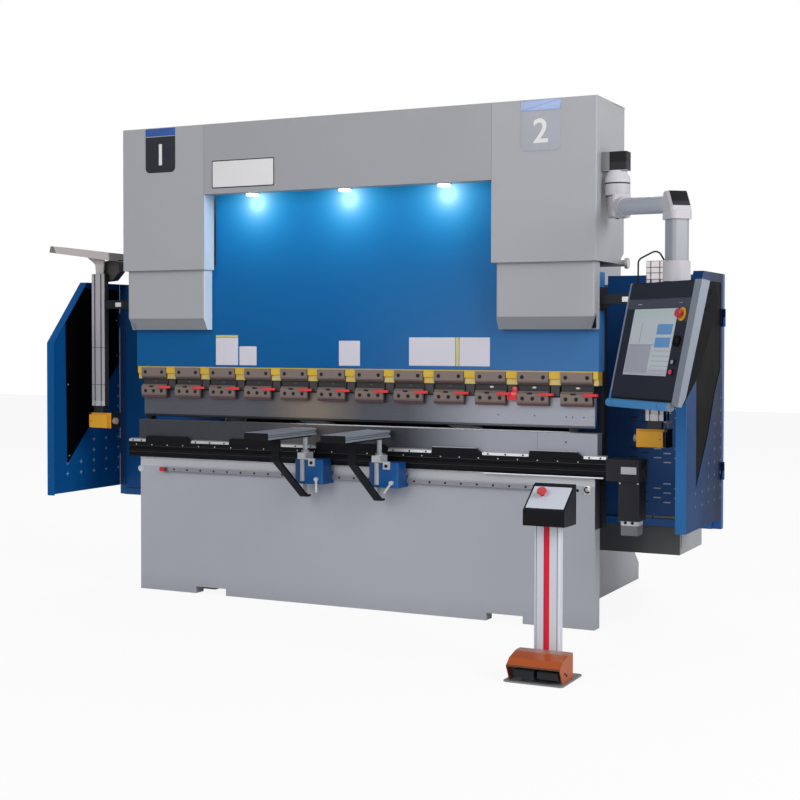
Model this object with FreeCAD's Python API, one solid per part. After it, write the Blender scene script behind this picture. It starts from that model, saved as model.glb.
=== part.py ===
import FreeCAD, Part
import math
import os

os.makedirs("parts", exist_ok=True)
V = FreeCAD.Vector
AX = V(1, 0, 0)
AY = V(0, 1, 0)
AZ = V(0, 0, 1)

# Frame: X along the bed, +Y to the back, Z up. Y = 0 is the bending line,
# Z = 0 the floor, X = 0 the middle of the machine. Sizes in millimetres.

# Height of the table and half the ram's length: the tools, head and ends follow from these
TABLE_BOTTOM = 689.0
RAM_HALF = 1248.0

# Bed, table and tools
BED_HALF = RAM_HALF - 16.0
BED_FRONT = -34.0
BED_BACK = 36.0
TABLE_TOP = TABLE_BOTTOM + 79.0
TABLE_FRONT = -60.0
TABLE_HALF = RAM_HALF + 41.0
DIE_HALF = RAM_HALF - 7.0
DIE_TOP = TABLE_TOP + 113.0
DIE_SIDE = 34.0
DIE_VEE = 9.0
DIE_CLAMP_W = 226.0
DIE_CLAMP_SHARES = (-0.614, -0.227, 0.253, 0.629)
END_CLAMP_W = 104.0
PUNCH_HALF = RAM_HALF - 26.0
PUNCH_TIP = DIE_TOP + 17.0
PUNCH_SIDE = 13.0

# Ram and tool clamps
CLAMP_COUNT = 12
CLAMP_PITCH = 2.0 * RAM_HALF / CLAMP_COUNT
CLAMP_W = 150.0
CLAMP_BOTTOM = PUNCH_TIP + 100.0
CLAMP_TOP = CLAMP_BOTTOM + 154.0
CLAMP_FRONT = -44.0
CLAMP_LIP = CLAMP_TOP - 58.0
CLAMP_JAW = CLAMP_BOTTOM + 67.0
RAM_FRONT = -41.0
RAM_BACK = 39.0
RAM_BOTTOM = CLAMP_TOP + 5.0

# Heights in the head are shares of the room from the ram's foot to the roof
HEIGHT = 2364.0
HEADROOM = HEIGHT - RAM_BOTTOM
RAM_COVER_LOW = RAM_BOTTOM + 0.1558 * HEADROOM
RAM_SHOULDER = RAM_BOTTOM + 0.367 * HEADROOM
TANK_LOW = RAM_BOTTOM + 0.3836 * HEADROOM
HEAD_BOTTOM = RAM_BOTTOM + 0.4043 * HEADROOM
RAM_COVER_TOP = RAM_BOTTOM + 0.425 * HEADROOM
CYLINDER_LOW = RAM_BOTTOM + 0.5576 * HEADROOM
TANK_TOP = RAM_BOTTOM + 0.6819 * HEADROOM
HEADER_BOTTOM = RAM_BOTTOM + 0.7133 * HEADROOM
RAM_TOP = RAM_BOTTOM + 0.773 * HEADROOM
CYLINDER_TOP = RAM_BOTTOM + 0.9056 * HEADROOM

# Head and its sheet covers
HEAD_HALF = RAM_HALF + 18.0
HEAD_INNER = HEAD_HALF - 495.0
HEAD_FRONT = -138.0
HEAD_SIDE_BACK = 74.0
HEAD_REAR = 270.0
SHEET = 3.0
BEND_R = 9.0
SEAM = 0.3
LAMP_XS = (-0.67 * HEAD_INNER, 0.0, 0.67 * HEAD_INNER)
LAMP_Y = -92.0
LAMP_R = 30.0
RAM_COVER_IN = HEAD_INNER + 15.0
RAM_COVER_OUT = HEAD_HALF - 16.0
RAM_COVER_FRONT = HEAD_FRONT + 23.0
CYLINDER_X = (HEAD_INNER + HEAD_HALF) / 2
CYLINDER_R = 105.0
ROD_R = 60.0

# Side frames
FRAME_OUT = CYLINDER_X - 18.5
FRAME_T = 50.0
FRAME_IN = FRAME_OUT - FRAME_T
FRAME_REAR_TOP = 1075.0
FRAME_REAR_LOW = 1300.0
FOOT_REAR = 1430.0
FRAME_UPPER_FRONT = 112.0
THROAT_DEPTH = 420.0
THROAT_TOP = RAM_BOTTOM + 183.0
THROAT_LOW = TABLE_BOTTOM + 11.0
THROAT_R = 80.0
ANCHOR_X = FRAME_IN - 45.0
ANCHOR_Y0 = 160.0
ANCHOR_Y1 = 1350.0
ANCHOR_R = 13.0
TRUNNION_Y = 211.0
TRUNNION_Z = HEAD_BOTTOM + 3.0
TANK_FRONT = 560.0
TANK_REAR = 1040.0
CABINET_W = 490.0
CABINET_FRONT = 450.0
CABINET_REAR = 860.0
CABINET_LOW = 290.0
CABINET_TOP = 1560.0

# Crowning drive on the table's right end
DRIVE_W = 156.0
DRIVE_LEG = 176.0

# Sheet supports
RAIL_Z = TABLE_BOTTOM - 59.0
RAIL_H = 25.0
RAIL_FRONT = -54.0
RAIL_X0 = 134.0 - BED_HALF
RAIL_X1 = BED_HALF - 291.0
RAIL_STOP = 48.0
SUPPORT_XS = (-204.0, 197.0)
SUPPORT_Y = -115.0
COLUMN_R = 11.0
ARM_TOP = TABLE_TOP + 100.0
ARM_H = 32.0
ARM_W = 124.0
ARM_BACK = -64.0
ARM_LEN = 455.0

# Sensor posts on the ram ends
POST_IN = RAM_HALF + 212.0
POST_W = 83.0
POST_OUT = POST_IN + POST_W
POST_MID = POST_IN + POST_W / 2
POST_FRONT = -39.0
POST_BACK = 1.0
POST_LOW = PUNCH_TIP + 47.0
POST_TOP = POST_LOW + 695.0
SENSOR_TOP = PUNCH_TIP + 2.0
SENSOR_LOW = SENSOR_TOP - 68.0
CABLE_R = 4.0

# Side guards
GUARD_X = POST_OUT + 147.0
GUARD_FRONT = -222.0
GUARD_REAR = 400.0
GUARD_LOW = 480.0
GUARD_TOP = 1600.0
GUARD_H = GUARD_TOP - GUARD_LOW
GUARD_SLOPE_Z = GUARD_TOP - 323.0
GUARD_SLOPE_Y = 54.0
GUARD_FLANGE = 45.0
BACK_LOW = GUARD_LOW - 50.0
BACK_IN = FRAME_OUT + 145.0
HINGE_X = GUARD_X + 8.0
HINGE_Y = GUARD_REAR + 3.0
HINGE_ZS = (GUARD_LOW + 220.0, GUARD_TOP - 200.0)

# Pendant arm and control pendant
SWIVEL_X = HEAD_HALF + 64.0
SWIVEL_Y = -43.0
SWIVEL_Z = HEIGHT - 380.0
ARM_START_Z = SWIVEL_Z - 102.0
ELBOW_X = SWIVEL_X + 405.0
ELBOW_Y = SWIVEL_Y - 512.0
ELBOW_Z = SWIVEL_Z - 146.0
TUBE_R = 37.0
ELBOW_HALF = 44.0
DROP_BOTTOM = ELBOW_Z - 226.0
DROP_HALF = 39.0
DROP_TURN = 45.0
PENDANT_X = ELBOW_X - 92.0
PENDANT_Y = ELBOW_Y - 43.0
PENDANT_Z = DROP_BOTTOM - 322.0
PENDANT_YAW = 43.7
PENDANT_TILT = 12.0
PENDANT_LEFT = -239.0
PENDANT_RIGHT = 301.0
PENDANT_LOW = -250.0
PENDANT_HIGH = 245.0
STOP_U = 205.0
STOP_V = 110.0

# Foot control stand
STAND_X = 1345.0
STAND_Y = -945.0
COLUMN_W = 106.0
COLUMN_H = 590.0
CONSOLE_X = STAND_X + 19.0
CONSOLE_W = 167.0
CONSOLE_FRONT = STAND_Y - 111.0
STOP_X = STAND_X - 10.0
STOP_Y = STAND_Y - 40.0
PEDAL_XS = (STAND_X - 37.0, STAND_X + 58.0)
PEDAL_W = 80.0
PEDAL_FRONT = STAND_Y - 169.0
PEDAL_PIVOT_Y = STAND_Y - 55.0
PEDAL_PIVOT_Z = 32.0
HOOD_HALF = 108.0


def box(x0, x1, y0, y1, z0, z1):
    return Part.makeBox(x1 - x0, y1 - y0, z1 - z0, V(x0, y0, z0))


def face_of(points):
    return Part.Face(Part.makePolygon(points + [points[0]]))


def prism_x(points, x0, x1):
    return face_of([V(x0, y, z) for y, z in points]).extrude(V(x1 - x0, 0, 0))


def prism_y(points, y0, y1):
    return face_of([V(x, y0, z) for x, z in points]).extrude(V(0, y1 - y0, 0))


def prism_z(points, z0, z1):
    return face_of([V(x, y, z0) for x, y in points]).extrude(V(0, 0, z1 - z0))


def cyl(x, y, z, radius, length, axis=(0, 0, 1)):
    return Part.makeCylinder(radius, length, V(x, y, z), V(*axis))


# A bar of many flats, close to round, for pins, knobs and stems.
def flats(count, base, axis, radius, length, top_radius=None):
    u = axis.cross(V(0.3, 0.5, 0.8)).normalize()
    w = axis.cross(u).normalize()
    turns = [2 * math.pi * (k + 0.5) / count for k in range(count)]
    spokes = [u * math.cos(a) + w * math.sin(a) for a in turns]
    low = [base + spoke * radius for spoke in spokes]
    if top_radius is None:
        return face_of(low).extrude(axis * length)
    high = [base + axis * length + spoke * top_radius for spoke in spokes]
    sides = [face_of([low[k - 1], low[k], high[k], high[k - 1]]) for k in range(count)]
    return Part.makeSolid(Part.makeShell([face_of(low), face_of(high)] + sides))


# A welded box of six plain panels, each stopping a hair short of the next at the seams.
def panels(x0, x1, y0, y1, z0, z1, t):
    zl, zh = z0 + t + SEAM, z1 - t - SEAM
    yl, yh = y0 + t + SEAM, y1 - t - SEAM
    walls = [box(x0, x1, y0, y1, z0, z0 + t), box(x0, x1, y0, y1, z1 - t, z1)]
    walls += [box(x0, x1, y0, y0 + t, zl, zh), box(x0, x1, y1 - t, y1, zl, zh)]
    return walls + [box(x0, x0 + t, yl, yh, zl, zh), box(x1 - t, x1, yl, yh, zl, zh)]


def join(shapes):
    first = shapes[0]
    return first.multiFuse(shapes[1:]).removeSplitter()


def mirror(shape):
    return shape.mirror(V(0, 0, 0), V(1, 0, 0))


def save(name, shapes):
    shape = shapes[0] if len(shapes) == 1 else Part.makeCompound(shapes)
    shape.exportStep("parts/" + name + ".step")


def edges_along(shape, axis, test):
    found = []
    for edge in shape.Edges:
        a = edge.Vertexes[0].Point
        b = edge.Vertexes[-1].Point
        d = b - a
        if d.Length > 1 and abs(abs(d.normalize().dot(axis)) - 1) < 1e-4 and test(a):
            found.append(edge)
    return found




# Side frames: two C-shaped plates with a rounded throat behind the tools,
# a long foot to the back and an anchor pad at each end.
def frame_plate():
    top = HEIGHT - SHEET
    pts = [(BED_BACK, 0), (FOOT_REAR, 0), (FOOT_REAR, 90), (FRAME_REAR_LOW, 200)]
    pts += [(FRAME_REAR_LOW, 950), (FRAME_REAR_TOP, 1250), (FRAME_REAR_TOP, top)]
    pts += [(FRAME_UPPER_FRONT, top), (FRAME_UPPER_FRONT, THROAT_TOP + 90)]
    pts += [(FRAME_UPPER_FRONT + 90, THROAT_TOP), (THROAT_DEPTH, THROAT_TOP)]
    pts += [(THROAT_DEPTH, THROAT_LOW), (BED_BACK, THROAT_LOW)]
    plate = prism_x(pts, FRAME_IN, FRAME_OUT)
    inner = edges_along(plate, AX, lambda p: abs(p.y - THROAT_DEPTH) < 1)
    plate = plate.makeFillet(THROAT_R, inner)
    outer = edges_along(plate, AX, lambda p: abs(p.y - FRAME_REAR_TOP) < 1 and p.z > top - 1)
    return plate.makeFillet(120, outer)


plate = frame_plate()
welded = [plate, mirror(plate)]
for y in (ANCHOR_Y0, ANCHOR_Y1):
    pad = box(ANCHOR_X - 45, FRAME_IN, y - 60, y + 60, 0, 25)
    for dy in (-50, 38):
        pad = pad.fuse(prism_y([(FRAME_IN, 25), (ANCHOR_X + 20, 25), (FRAME_IN, 110)], y + dy, y + dy + 12))
    pad = pad.cut(cyl(ANCHOR_X, y, -1, ANCHOR_R, 40))
    welded += [pad, mirror(pad)]

# The frames are welded to a low plate at the back and to a flanged one above the throat.
low_tie = box(-FRAME_IN, FRAME_IN, 1240, 1280, 120, 420)
tie_z = THROAT_TOP + 100
high_tie = box(-FRAME_IN, FRAME_IN, 200, 230, tie_z, tie_z + 120)
high_tie = high_tie.fuse(box(-FRAME_IN, FRAME_IN, 200, 290, tie_z, tie_z + 20))
save("side_frames", [join(welded + [low_tie, high_tie])])

# Oil tank: a welded sheet box between the frames with stiffening ribs, and on its lid
# the pump's motor and the valve block.
ty0, ty1, tz0, tz1 = TANK_FRONT, TANK_REAR, TANK_LOW, TANK_TOP
tank = panels(-FRAME_IN, FRAME_IN, ty0, ty1, tz0, tz1, 6)
ribs = []
rib_y = ty1 + SEAM
rib_pts = [(rib_y, tz0), (ty1 + 34, tz0), (ty1 + 34, tz1 - 40), (rib_y, tz1)]
for share in (-0.6, -0.2, 0.2, 0.6):
    ribs.append(prism_x(rib_pts, share * FRAME_IN - 4, share * FRAME_IN + 4))
lid = box(250 - FRAME_IN, FRAME_IN - 250, ty0 + 40, ty1 - 40, tz1 + SEAM, tz1 + 10)
motor = flats(24, V(-150, 800, tz1 + 10 + SEAM), AZ, 120, 24)
motor = motor.fuse(flats(24, V(-150, 800, tz1 + 33), AZ, 95, 250))
motor = motor.fuse(flats(24, V(-150, 800, tz1 + 283), AZ, 95, 37, 78))
motor = motor.fuse(box(-80, -10, 750, 850, tz1 + 110, tz1 + 200))
valves = [box(200, 420, 730, 870, tz1 + 10 + SEAM, tz1 + 130)]
for x in (245.0, 310.0, 375.0):
    valves.append(box(x - 22, x + 22, 690, 730 - SEAM, tz1 + 30, tz1 + 75))
    valves.append(box(x - 18, x + 18, 782, 818, tz1 + 130 + SEAM, tz1 + 185))
save("oil_tank", tank + ribs + valves + [lid, motor])

# Bed: one thick plate standing on the floor behind the tools' line.
bed = box(-BED_HALF, BED_HALF, BED_FRONT, BED_BACK, 0, TABLE_BOTTOM)
for x in (-800.0, 800.0):
    bed = bed.cut(box(x - 90, x + 90, BED_FRONT - 1, BED_BACK + 1, -1, 35))
save("bed_plate", [bed])

# Table beam: a long black section with a clamping slot and a stepped front.
tf = TABLE_FRONT
tb, tt = TABLE_BOTTOM, TABLE_TOP
table_pts = [(tf, tb + 8), (tf + 10, tb), (BED_BACK, tb), (BED_BACK, tt)]
table_pts += [(tf + 4, tt), (tf, tt - 4), (tf, tt - 22), (tf + 9, tt - 24)]
table_pts += [(tf + 9, tt - 36), (tf, tt - 38), (tf, tb + 26), (tf + 4, tb + 24), (tf + 4, tb + 10)]
beam = prism_x(table_pts, -TABLE_HALF, TABLE_HALF)

# Die: a rail with a bending groove on top and a shoulder on each side at its foot.
die_pts = [(-DIE_SIDE, TABLE_TOP), (DIE_SIDE, TABLE_TOP), (DIE_SIDE, DIE_TOP - 2), (DIE_SIDE - 2, DIE_TOP)]
die_pts += [(DIE_VEE, DIE_TOP), (0, DIE_TOP - DIE_VEE), (-DIE_VEE, DIE_TOP)]
die_pts += [(-DIE_SIDE + 2, DIE_TOP), (-DIE_SIDE, DIE_TOP - 2)]
save("die", [prism_x(die_pts, -DIE_HALF, DIE_HALF)])

# Die clamps: short plates at the foot of the die, sloping on top.
spans = [(-TABLE_HALF, END_CLAMP_W - TABLE_HALF)]
for share in DIE_CLAMP_SHARES:
    spans.append((share * TABLE_HALF - DIE_CLAMP_W / 2, share * TABLE_HALF + DIE_CLAMP_W / 2))
spans.append((TABLE_HALF - END_CLAMP_W, TABLE_HALF))
plate_pts = [(tf + 2, tt), (-DIE_SIDE, tt), (-DIE_SIDE, tt + 16), (tf + 5, tt + 12)]
save("die_clamps", [prism_x(plate_pts, x0, x1) for x0, x1 in spans])

# Raised strips on the beam between the die clamps, each with one sloping end.
stops = []
for k in range(len(spans) - 1):
    x0 = spans[k][1] + 3
    x1 = spans[k + 1][0] - 3
    pts = [(x0, tt - 1), (x1, tt - 1), (x1 - 6, tt + 6), (x1 - 34, tt + 30), (x0, tt + 30)]
    stops.append(prism_y(pts, tf + 4, -DIE_SIDE))
save("table_beam", [join([beam] + stops)])

# Crowning drive: gear case on the beam's right end, with a leg and a motor hanging below.
dx = TABLE_HALF
drive_out = dx + DRIVE_W
leg_z = tb - 13 - DRIVE_LEG
case = box(dx, drive_out, TABLE_FRONT, 55, tb - 14, tt + 4)
case = case.makeChamfer(5, edges_along(case, AZ, lambda p: p.x > drive_out - 5))
leg = box(dx + 56, dx + 151, TABLE_FRONT + 6, 48, leg_z, tb - 13)
plug = flats(20, V(drive_out, 0, tt - 44), AX, 26, 8)
flange = box(dx + 63, dx + 144, TABLE_FRONT + 12, 36, leg_z - 20, leg_z)
flange = flange.makeChamfer(10, edges_along(flange, AZ, lambda p: True))
body = box(dx + 66, dx + 141, TABLE_FRONT + 15, 33, leg_z - 64, leg_z - 20)
save("crowning_drive", [join([case, plug, leg, flange, body])])

# Rail for the sheet supports, with a rubber stop at its left end.
rh = RAIL_H / 2
rail_pts = [(RAIL_FRONT, RAIL_Z - rh + 3.5), (RAIL_FRONT + 3, RAIL_Z - rh), (BED_FRONT, RAIL_Z - rh)]
rail_pts += [(BED_FRONT, RAIL_Z + rh), (RAIL_FRONT + 3, RAIL_Z + rh), (RAIL_FRONT, RAIL_Z + rh - 3.5)]
rail = prism_x(rail_pts, RAIL_X0 + RAIL_STOP, RAIL_X1)
stop = flats(16, V(RAIL_X0 + 12, RAIL_FRONT - 6, RAIL_Z), AY, 12, BED_FRONT - RAIL_FRONT + 6)
stop_box = box(RAIL_X0 + 12, RAIL_X0 + RAIL_STOP, RAIL_FRONT - 6, BED_FRONT, RAIL_Z - 12, RAIL_Z + 12)
save("support_rail", [join([rail, stop, stop_box])])


# Head covers: folded sheet boxes over the cylinders, open below for the ram's covers.
def head_cover():
    outer = box(HEAD_INNER, HEAD_HALF, HEAD_FRONT, HEAD_SIDE_BACK, HEAD_BOTTOM, HEIGHT)
    corner = edges_along(outer, AZ, lambda p: p.x > HEAD_INNER + 1 and p.y < 0)
    outer = outer.makeFillet(BEND_R, corner)
    inner = box(HEAD_INNER + SHEET, HEAD_HALF - SHEET, HEAD_FRONT + SHEET, 2000, 0, HEIGHT - SHEET)
    bend = edges_along(inner, AZ, lambda p: p.x > HEAD_INNER + 9 and p.y < 0)
    inner = inner.makeFillet(BEND_R - SHEET, bend)
    shell = outer.cut(inner)
    roof = box(HEAD_INNER, HEAD_HALF, HEAD_SIDE_BACK, HEAD_REAR, HEIGHT - SHEET, HEIGHT)
    side_pts = [(44, HEAD_BOTTOM), (190, HEAD_BOTTOM), (HEAD_REAR, HEAD_BOTTOM + 50)]
    side_pts += [(HEAD_REAR, HEIGHT - SHEET), (44, HEIGHT - SHEET)]
    side = prism_x(side_pts, HEAD_HALF - 2 * SHEET, HEAD_HALF - SHEET)
    side = side.cut(cyl(HEAD_HALF - 20, TRUNNION_Y, TRUNNION_Z, 19, 40, (1, 0, 0)))
    back_low = HEAD_BOTTOM + 50
    back = box(FRAME_OUT, HEAD_HALF - 2 * SHEET, HEAD_REAR - SHEET, HEAD_REAR, back_low, HEIGHT - SHEET)
    slot = box(HEAD_INNER - 1, HEAD_INNER + SHEET + 1, RAM_FRONT - 5, 200, 0, HEIGHT - SHEET)
    return join([shell.cut(slot), roof, side, back])


cover = head_cover()
save("head_cover_right", [cover])
save("head_cover_left", [mirror(cover)])

# Header: a fascia between the two covers, folded under at its lower edge and along the roof.
hb = HEADER_BOTTOM
hf, lip = HEAD_FRONT, -58
fascia_pts = [(hf, hb), (lip, hb), (lip, hb + 24), (lip - SHEET, hb + 24), (lip - SHEET, hb + SHEET)]
fascia_pts += [(hf + SHEET, hb + SHEET), (hf + SHEET, HEIGHT - SHEET), (HEAD_REAR, HEIGHT - SHEET)]
fascia_pts += [(HEAD_REAR, HEIGHT), (hf, HEIGHT)]
save("header", [prism_x(fascia_pts, -HEAD_INNER, HEAD_INNER)])
lamps = []
for x in LAMP_XS:
    lamps.append(flats(28, V(x, LAMP_Y, hb - 14), AZ, LAMP_R, 14))
save("head_lamps", lamps)

# Cylinders: two long barrels hung on the front of the side frames, open below for the rods.
bore = ROD_R + 0.3
span = CYLINDER_TOP - CYLINDER_LOW
barrel = flats(32, V(CYLINDER_X, 0, CYLINDER_LOW), AZ, CYLINDER_R, span)
barrel = barrel.cut(cyl(CYLINDER_X, 0, CYLINDER_LOW - 1, bore, span - 24))
seat = box(FRAME_IN, CYLINDER_X + 68, 60, FRAME_UPPER_FRONT, CYLINDER_LOW + 30, CYLINDER_TOP - 50)
barrel = barrel.fuse(seat.cut(cyl(CYLINDER_X, 0, CYLINDER_LOW, CYLINDER_R - 2, span)))
save("cylinders", [barrel, mirror(barrel)])

# Trunnions: round lifting bars through the side frames, with a disc at the end.
trunnion = flats(12, V(FRAME_OUT, TRUNNION_Y, TRUNNION_Z), AX, 15, 290)
trunnion = trunnion.fuse(flats(24, V(FRAME_OUT + 290, TRUNNION_Y, TRUNNION_Z), AX, 25, 14))
save("lifting_trunnions", [trunnion, mirror(trunnion)])

# Ram: a thick plate, narrow above the shoulders so that it clears the cylinders.
ri = HEAD_INNER - 10
rs = RAM_SHOULDER
ram_pts = [(-RAM_HALF, RAM_BOTTOM), (RAM_HALF, RAM_BOTTOM), (RAM_HALF, rs), (ri + 70, rs), (ri, rs + 70)]
ram_pts += [(ri, RAM_TOP - 60), (ri - 60, RAM_TOP), (60 - ri, RAM_TOP), (-ri, RAM_TOP - 60)]
ram_pts += [(-ri, rs + 70), (-ri - 70, rs), (-RAM_HALF, rs)]
save("ram_plate", [prism_y(ram_pts, RAM_FRONT, RAM_BACK)])
rod = cyl(CYLINDER_X, 0, RAM_SHOULDER, ROD_R, CYLINDER_LOW + 35 - RAM_SHOULDER)
save("piston_rods", [rod, mirror(rod)])


# Quick clamps: an upper block and a lower jaw in front of one body, with a slot for the punch.
def tool_clamp(cx):
    cf = CLAMP_FRONT
    pts = [(cf, CLAMP_TOP), (cf, CLAMP_LIP + 16), (cf + 9, CLAMP_LIP), (-22, CLAMP_LIP), (-22, CLAMP_JAW)]
    pts += [(cf + 12, CLAMP_JAW), (cf, CLAMP_JAW - 12), (cf, CLAMP_BOTTOM + 20), (cf + 6, CLAMP_BOTTOM)]
    pts += [(-PUNCH_SIDE, CLAMP_BOTTOM), (-PUNCH_SIDE, CLAMP_BOTTOM + 40), (PUNCH_SIDE, CLAMP_BOTTOM + 40)]
    pts += [(PUNCH_SIDE, CLAMP_BOTTOM), (30, CLAMP_BOTTOM), (30, CLAMP_TOP)]
    return prism_x(pts, cx - CLAMP_W / 2, cx + CLAMP_W / 2)


centres = [(k - (CLAMP_COUNT - 1) / 2) * CLAMP_PITCH for k in range(CLAMP_COUNT)]
save("tool_clamps", [tool_clamp(cx) for cx in centres])

# Clamp levers: flat red handles along the right half of each jaw.
levers = []
for cx in centres:
    cf = CLAMP_FRONT
    outline = [(cx + 30, cf), (cx + 34, cf - 8), (cx + 70, cf - 10), (cx + 98, cf - 6), (cx + 103, cf + 1)]
    outline += [(cx + 98, cf + 6), (cx + 76, cf + 1), (cx + CLAMP_W / 2, cf)]
    levers.append(prism_z(outline, CLAMP_JAW - 20, CLAMP_JAW - 8))
save("clamp_levers", levers)

# Wedge strips: a brass coloured strip under the ram, with a stepped piece between each two
# clamps and the gauge block that hangs below it.
strip_half = RAM_HALF - 4
gold = [box(-strip_half, strip_half, RAM_FRONT + 1, 30, CLAMP_TOP, RAM_BOTTOM)]
step_z = CLAMP_TOP - 30
step_pts = [(RAM_FRONT + 2, CLAMP_TOP), (RAM_FRONT + 2, step_z), (-30, step_z - 2), (-30, step_z - 32)]
step_pts += [(24, step_z - 32), (24, CLAMP_TOP)]
edges = [-strip_half] + centres + [strip_half]
for k in range(CLAMP_COUNT + 1):
    x0 = edges[k] + (CLAMP_W / 2 + 2 if k > 0 else 0)
    x1 = edges[k + 1] - (CLAMP_W / 2 + 2 if k < CLAMP_COUNT else 0)
    gold.append(prism_x(step_pts, x0, x1))
    if 0 < k < CLAMP_COUNT:
        gold.append(box(x0 + 6, x0 + 46, -26, 20, CLAMP_BOTTOM + 45, step_z - 31))
save("wedge_strips", [join(gold)])

# Punch: a straight blade with a fine nose.
ps, tip = PUNCH_SIDE, PUNCH_TIP
punch_pts = [(-ps, CLAMP_BOTTOM + 39), (ps, CLAMP_BOTTOM + 39), (ps, tip + 46), (5, tip + 30), (5, tip + 5)]
punch_pts += [(1, tip), (-1, tip), (-ps, tip + 14)]
save("punch", [prism_x(punch_pts, -PUNCH_HALF, PUNCH_HALF)])


# Ram covers: folded sheet aprons that slide up inside the head covers, bevelled at the foot.
def ram_cover():
    x0, x1 = RAM_COVER_IN, RAM_COVER_OUT
    front, low, top = RAM_COVER_FRONT, RAM_COVER_LOW, RAM_COVER_TOP
    outer = box(x0, x1, front, RAM_FRONT, low, top)
    outer = outer.makeFillet(BEND_R, edges_along(outer, AZ, lambda p: p.y < front + 1))
    bevel = prism_x([(front - 1, low + 58), (front - 1, low - 1), (front + 35, low - 1)], x0 - 1, x1 + 1)
    inner = box(x0 + SHEET, x1 - SHEET, front + SHEET, RAM_FRONT + 1, low + SHEET, top + 1)
    bevel_in = prism_x([(front + 2, low + 59), (front + 2, low + 2), (front + 38, low + 2)], x0, x1)
    shape = outer.cut(bevel).cut(inner.cut(bevel_in))
    trim = prism_y([(x1 + 1, low - 1), (x1 - 24, low - 1), (x1 + 1, low + 74)], front - 1, front + 39)
    patch_pts = [(x1 - 24, low + 4), (x1 - 27, low + 4), (x1 - 3, low + 74), (x1, low + 74)]
    return shape.cut(trim).fuse(prism_y(patch_pts, front + 5, front + 35).common(outer))


low_cover = ram_cover()
save("ram_cover_right", [low_cover])
save("ram_cover_left", [mirror(low_cover)])

# Sensor carriers: a bracket on each ram end, a black arm and a slotted aluminium post.
az = POST_TOP - 184
bracket = box(RAM_HALF, RAM_HALF + 6, -39, 36, az - 28, az + 76)
bracket = bracket.fuse(box(RAM_HALF + 5, POST_IN, -38, -10, az, az + 44))
web = prism_y([(RAM_HALF + 5, az + 1), (RAM_HALF + 5, az - 26), (RAM_HALF + 60, az + 1)], -30, -18)
bracket = bracket.fuse(web)
save("sensor_arms", [bracket, mirror(bracket)])
mid = POST_MID
post = box(POST_IN, POST_OUT, POST_FRONT, POST_BACK, POST_LOW, POST_TOP)
post = post.makeChamfer(3, edges_along(post, AZ, lambda p: True))
for gx in (mid - 20, mid + 20):
    post = post.cut(box(gx - 4, gx + 4, POST_FRONT - 1, POST_FRONT + 7, POST_LOW - 1, POST_TOP + 1))
    post = post.cut(box(gx - 4, gx + 4, POST_BACK - 7, POST_BACK + 1, POST_LOW - 1, POST_TOP + 1))
save("sensor_posts", [post, mirror(post)])
head = box(mid - 30, mid + 30, POST_FRONT + 4, POST_BACK - 4, SENSOR_TOP + 8, POST_LOW)
head = head.fuse(box(mid - 82, mid + 58, POST_FRONT + 2, 44, SENSOR_LOW - 4, SENSOR_TOP + 8))
front = box(mid - 72, mid + 43, POST_FRONT - 20, POST_FRONT + 3, SENSOR_LOW, SENSOR_TOP)
front = front.makeChamfer(4, edges_along(front, V(0, 1, 0), lambda p: True))
head = join([head, front, flats(20, V(mid - 98, -10, (SENSOR_LOW + SENSOR_TOP) / 2), AX, 17, 17)])
save("sensor_heads", [head, mirror(head)])


# A round cable through a list of points, straight between them and bent on an arc at each.
def cable(points, radius, bend):
    edges = []
    last = points[0]
    for before, corner, after in zip(points, points[1:], points[2:]):
        into = (corner - before).normalize()
        out = (after - corner).normalize()
        half = into.getAngle(out) / 2
        reach = bend * math.tan(half)
        first = corner - into * reach
        final = corner + out * reach
        inward = (out - into).normalize()
        middle = corner + inward * (bend / math.cos(half) - bend)
        edges.append(Part.makeLine(last, first))
        edges.append(Part.Arc(first, middle, final).toShape())
        last = final
    edges.append(Part.makeLine(last, points[-1]))
    along = (points[1] - points[0]).normalize()
    section = flats(8, points[0], along, radius, 1).Faces
    section = [f for f in section if abs(f.CenterOfMass.sub(points[0]).Length) < 0.1][0]
    return Part.Wire(edges).makePipe(section)


# Sensor cable: from the right arm up over the post's head and down behind it to its plug.
cable_x = POST_OUT + 9
plug = flats(8, V(cable_x - 6, 20, SENSOR_TOP + 8), AZ, 8, 36)
route = [V(POST_IN - 40, -24, az + 44), V(POST_IN - 40, -24, POST_TOP + 10), V(mid, -2, POST_TOP + 54)]
route += [V(cable_x - 6, 20, POST_TOP - 30), V(cable_x - 6, 20, SENSOR_TOP + 40)]
save("sensor_cable", [plug.fuse(cable(route, CABLE_R, 28))])

# Tray on the left post: a tilted folded sheet with a rim, on a gusseted neck, and a dark case behind.
tx, tz = -mid, POST_TOP
tray_pts = [(tx - 288, tz + 117), (tx - 280, tz + 151), (tx + 102, tz + 106), (tx + 102, tz + 66)]
tray_pts += [(tx + 99, tz + 66), (tx + 99, tz + 103), (tx - 277, tz + 147), (tx - 284, tz + 117)]
tray = prism_y(tray_pts, -75, 60)
rim_pts = [(tx - 288, tz + 117), (tx - 280, tz + 151), (tx + 102, tz + 106), (tx + 102, tz + 66)]
rim = prism_y(rim_pts, -78, -75)
rib_pts = [(tx - 138, tz + 132), (tx + 32, tz + 112), (tx + 24, tz), (tx - 23, tz), (tx - 28, tz + 50)]
rib = prism_y(rib_pts, -24, -16)
case_pts = [(tx - 58, tz + 60), (tx + 44, tz + 72), (tx + 100, tz + 65), (tx + 106, tz + 10)]
case_pts += [(tx + 62, tz - 34), (tx + 2, tz - 40)]
case = prism_y(case_pts, 6, 56)
neck = box(tx - 28, tx + 32, POST_BACK, 7, tz - 50, tz)
save("post_tray", [join([tray, rim, rib]), join([case, neck])])

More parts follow.
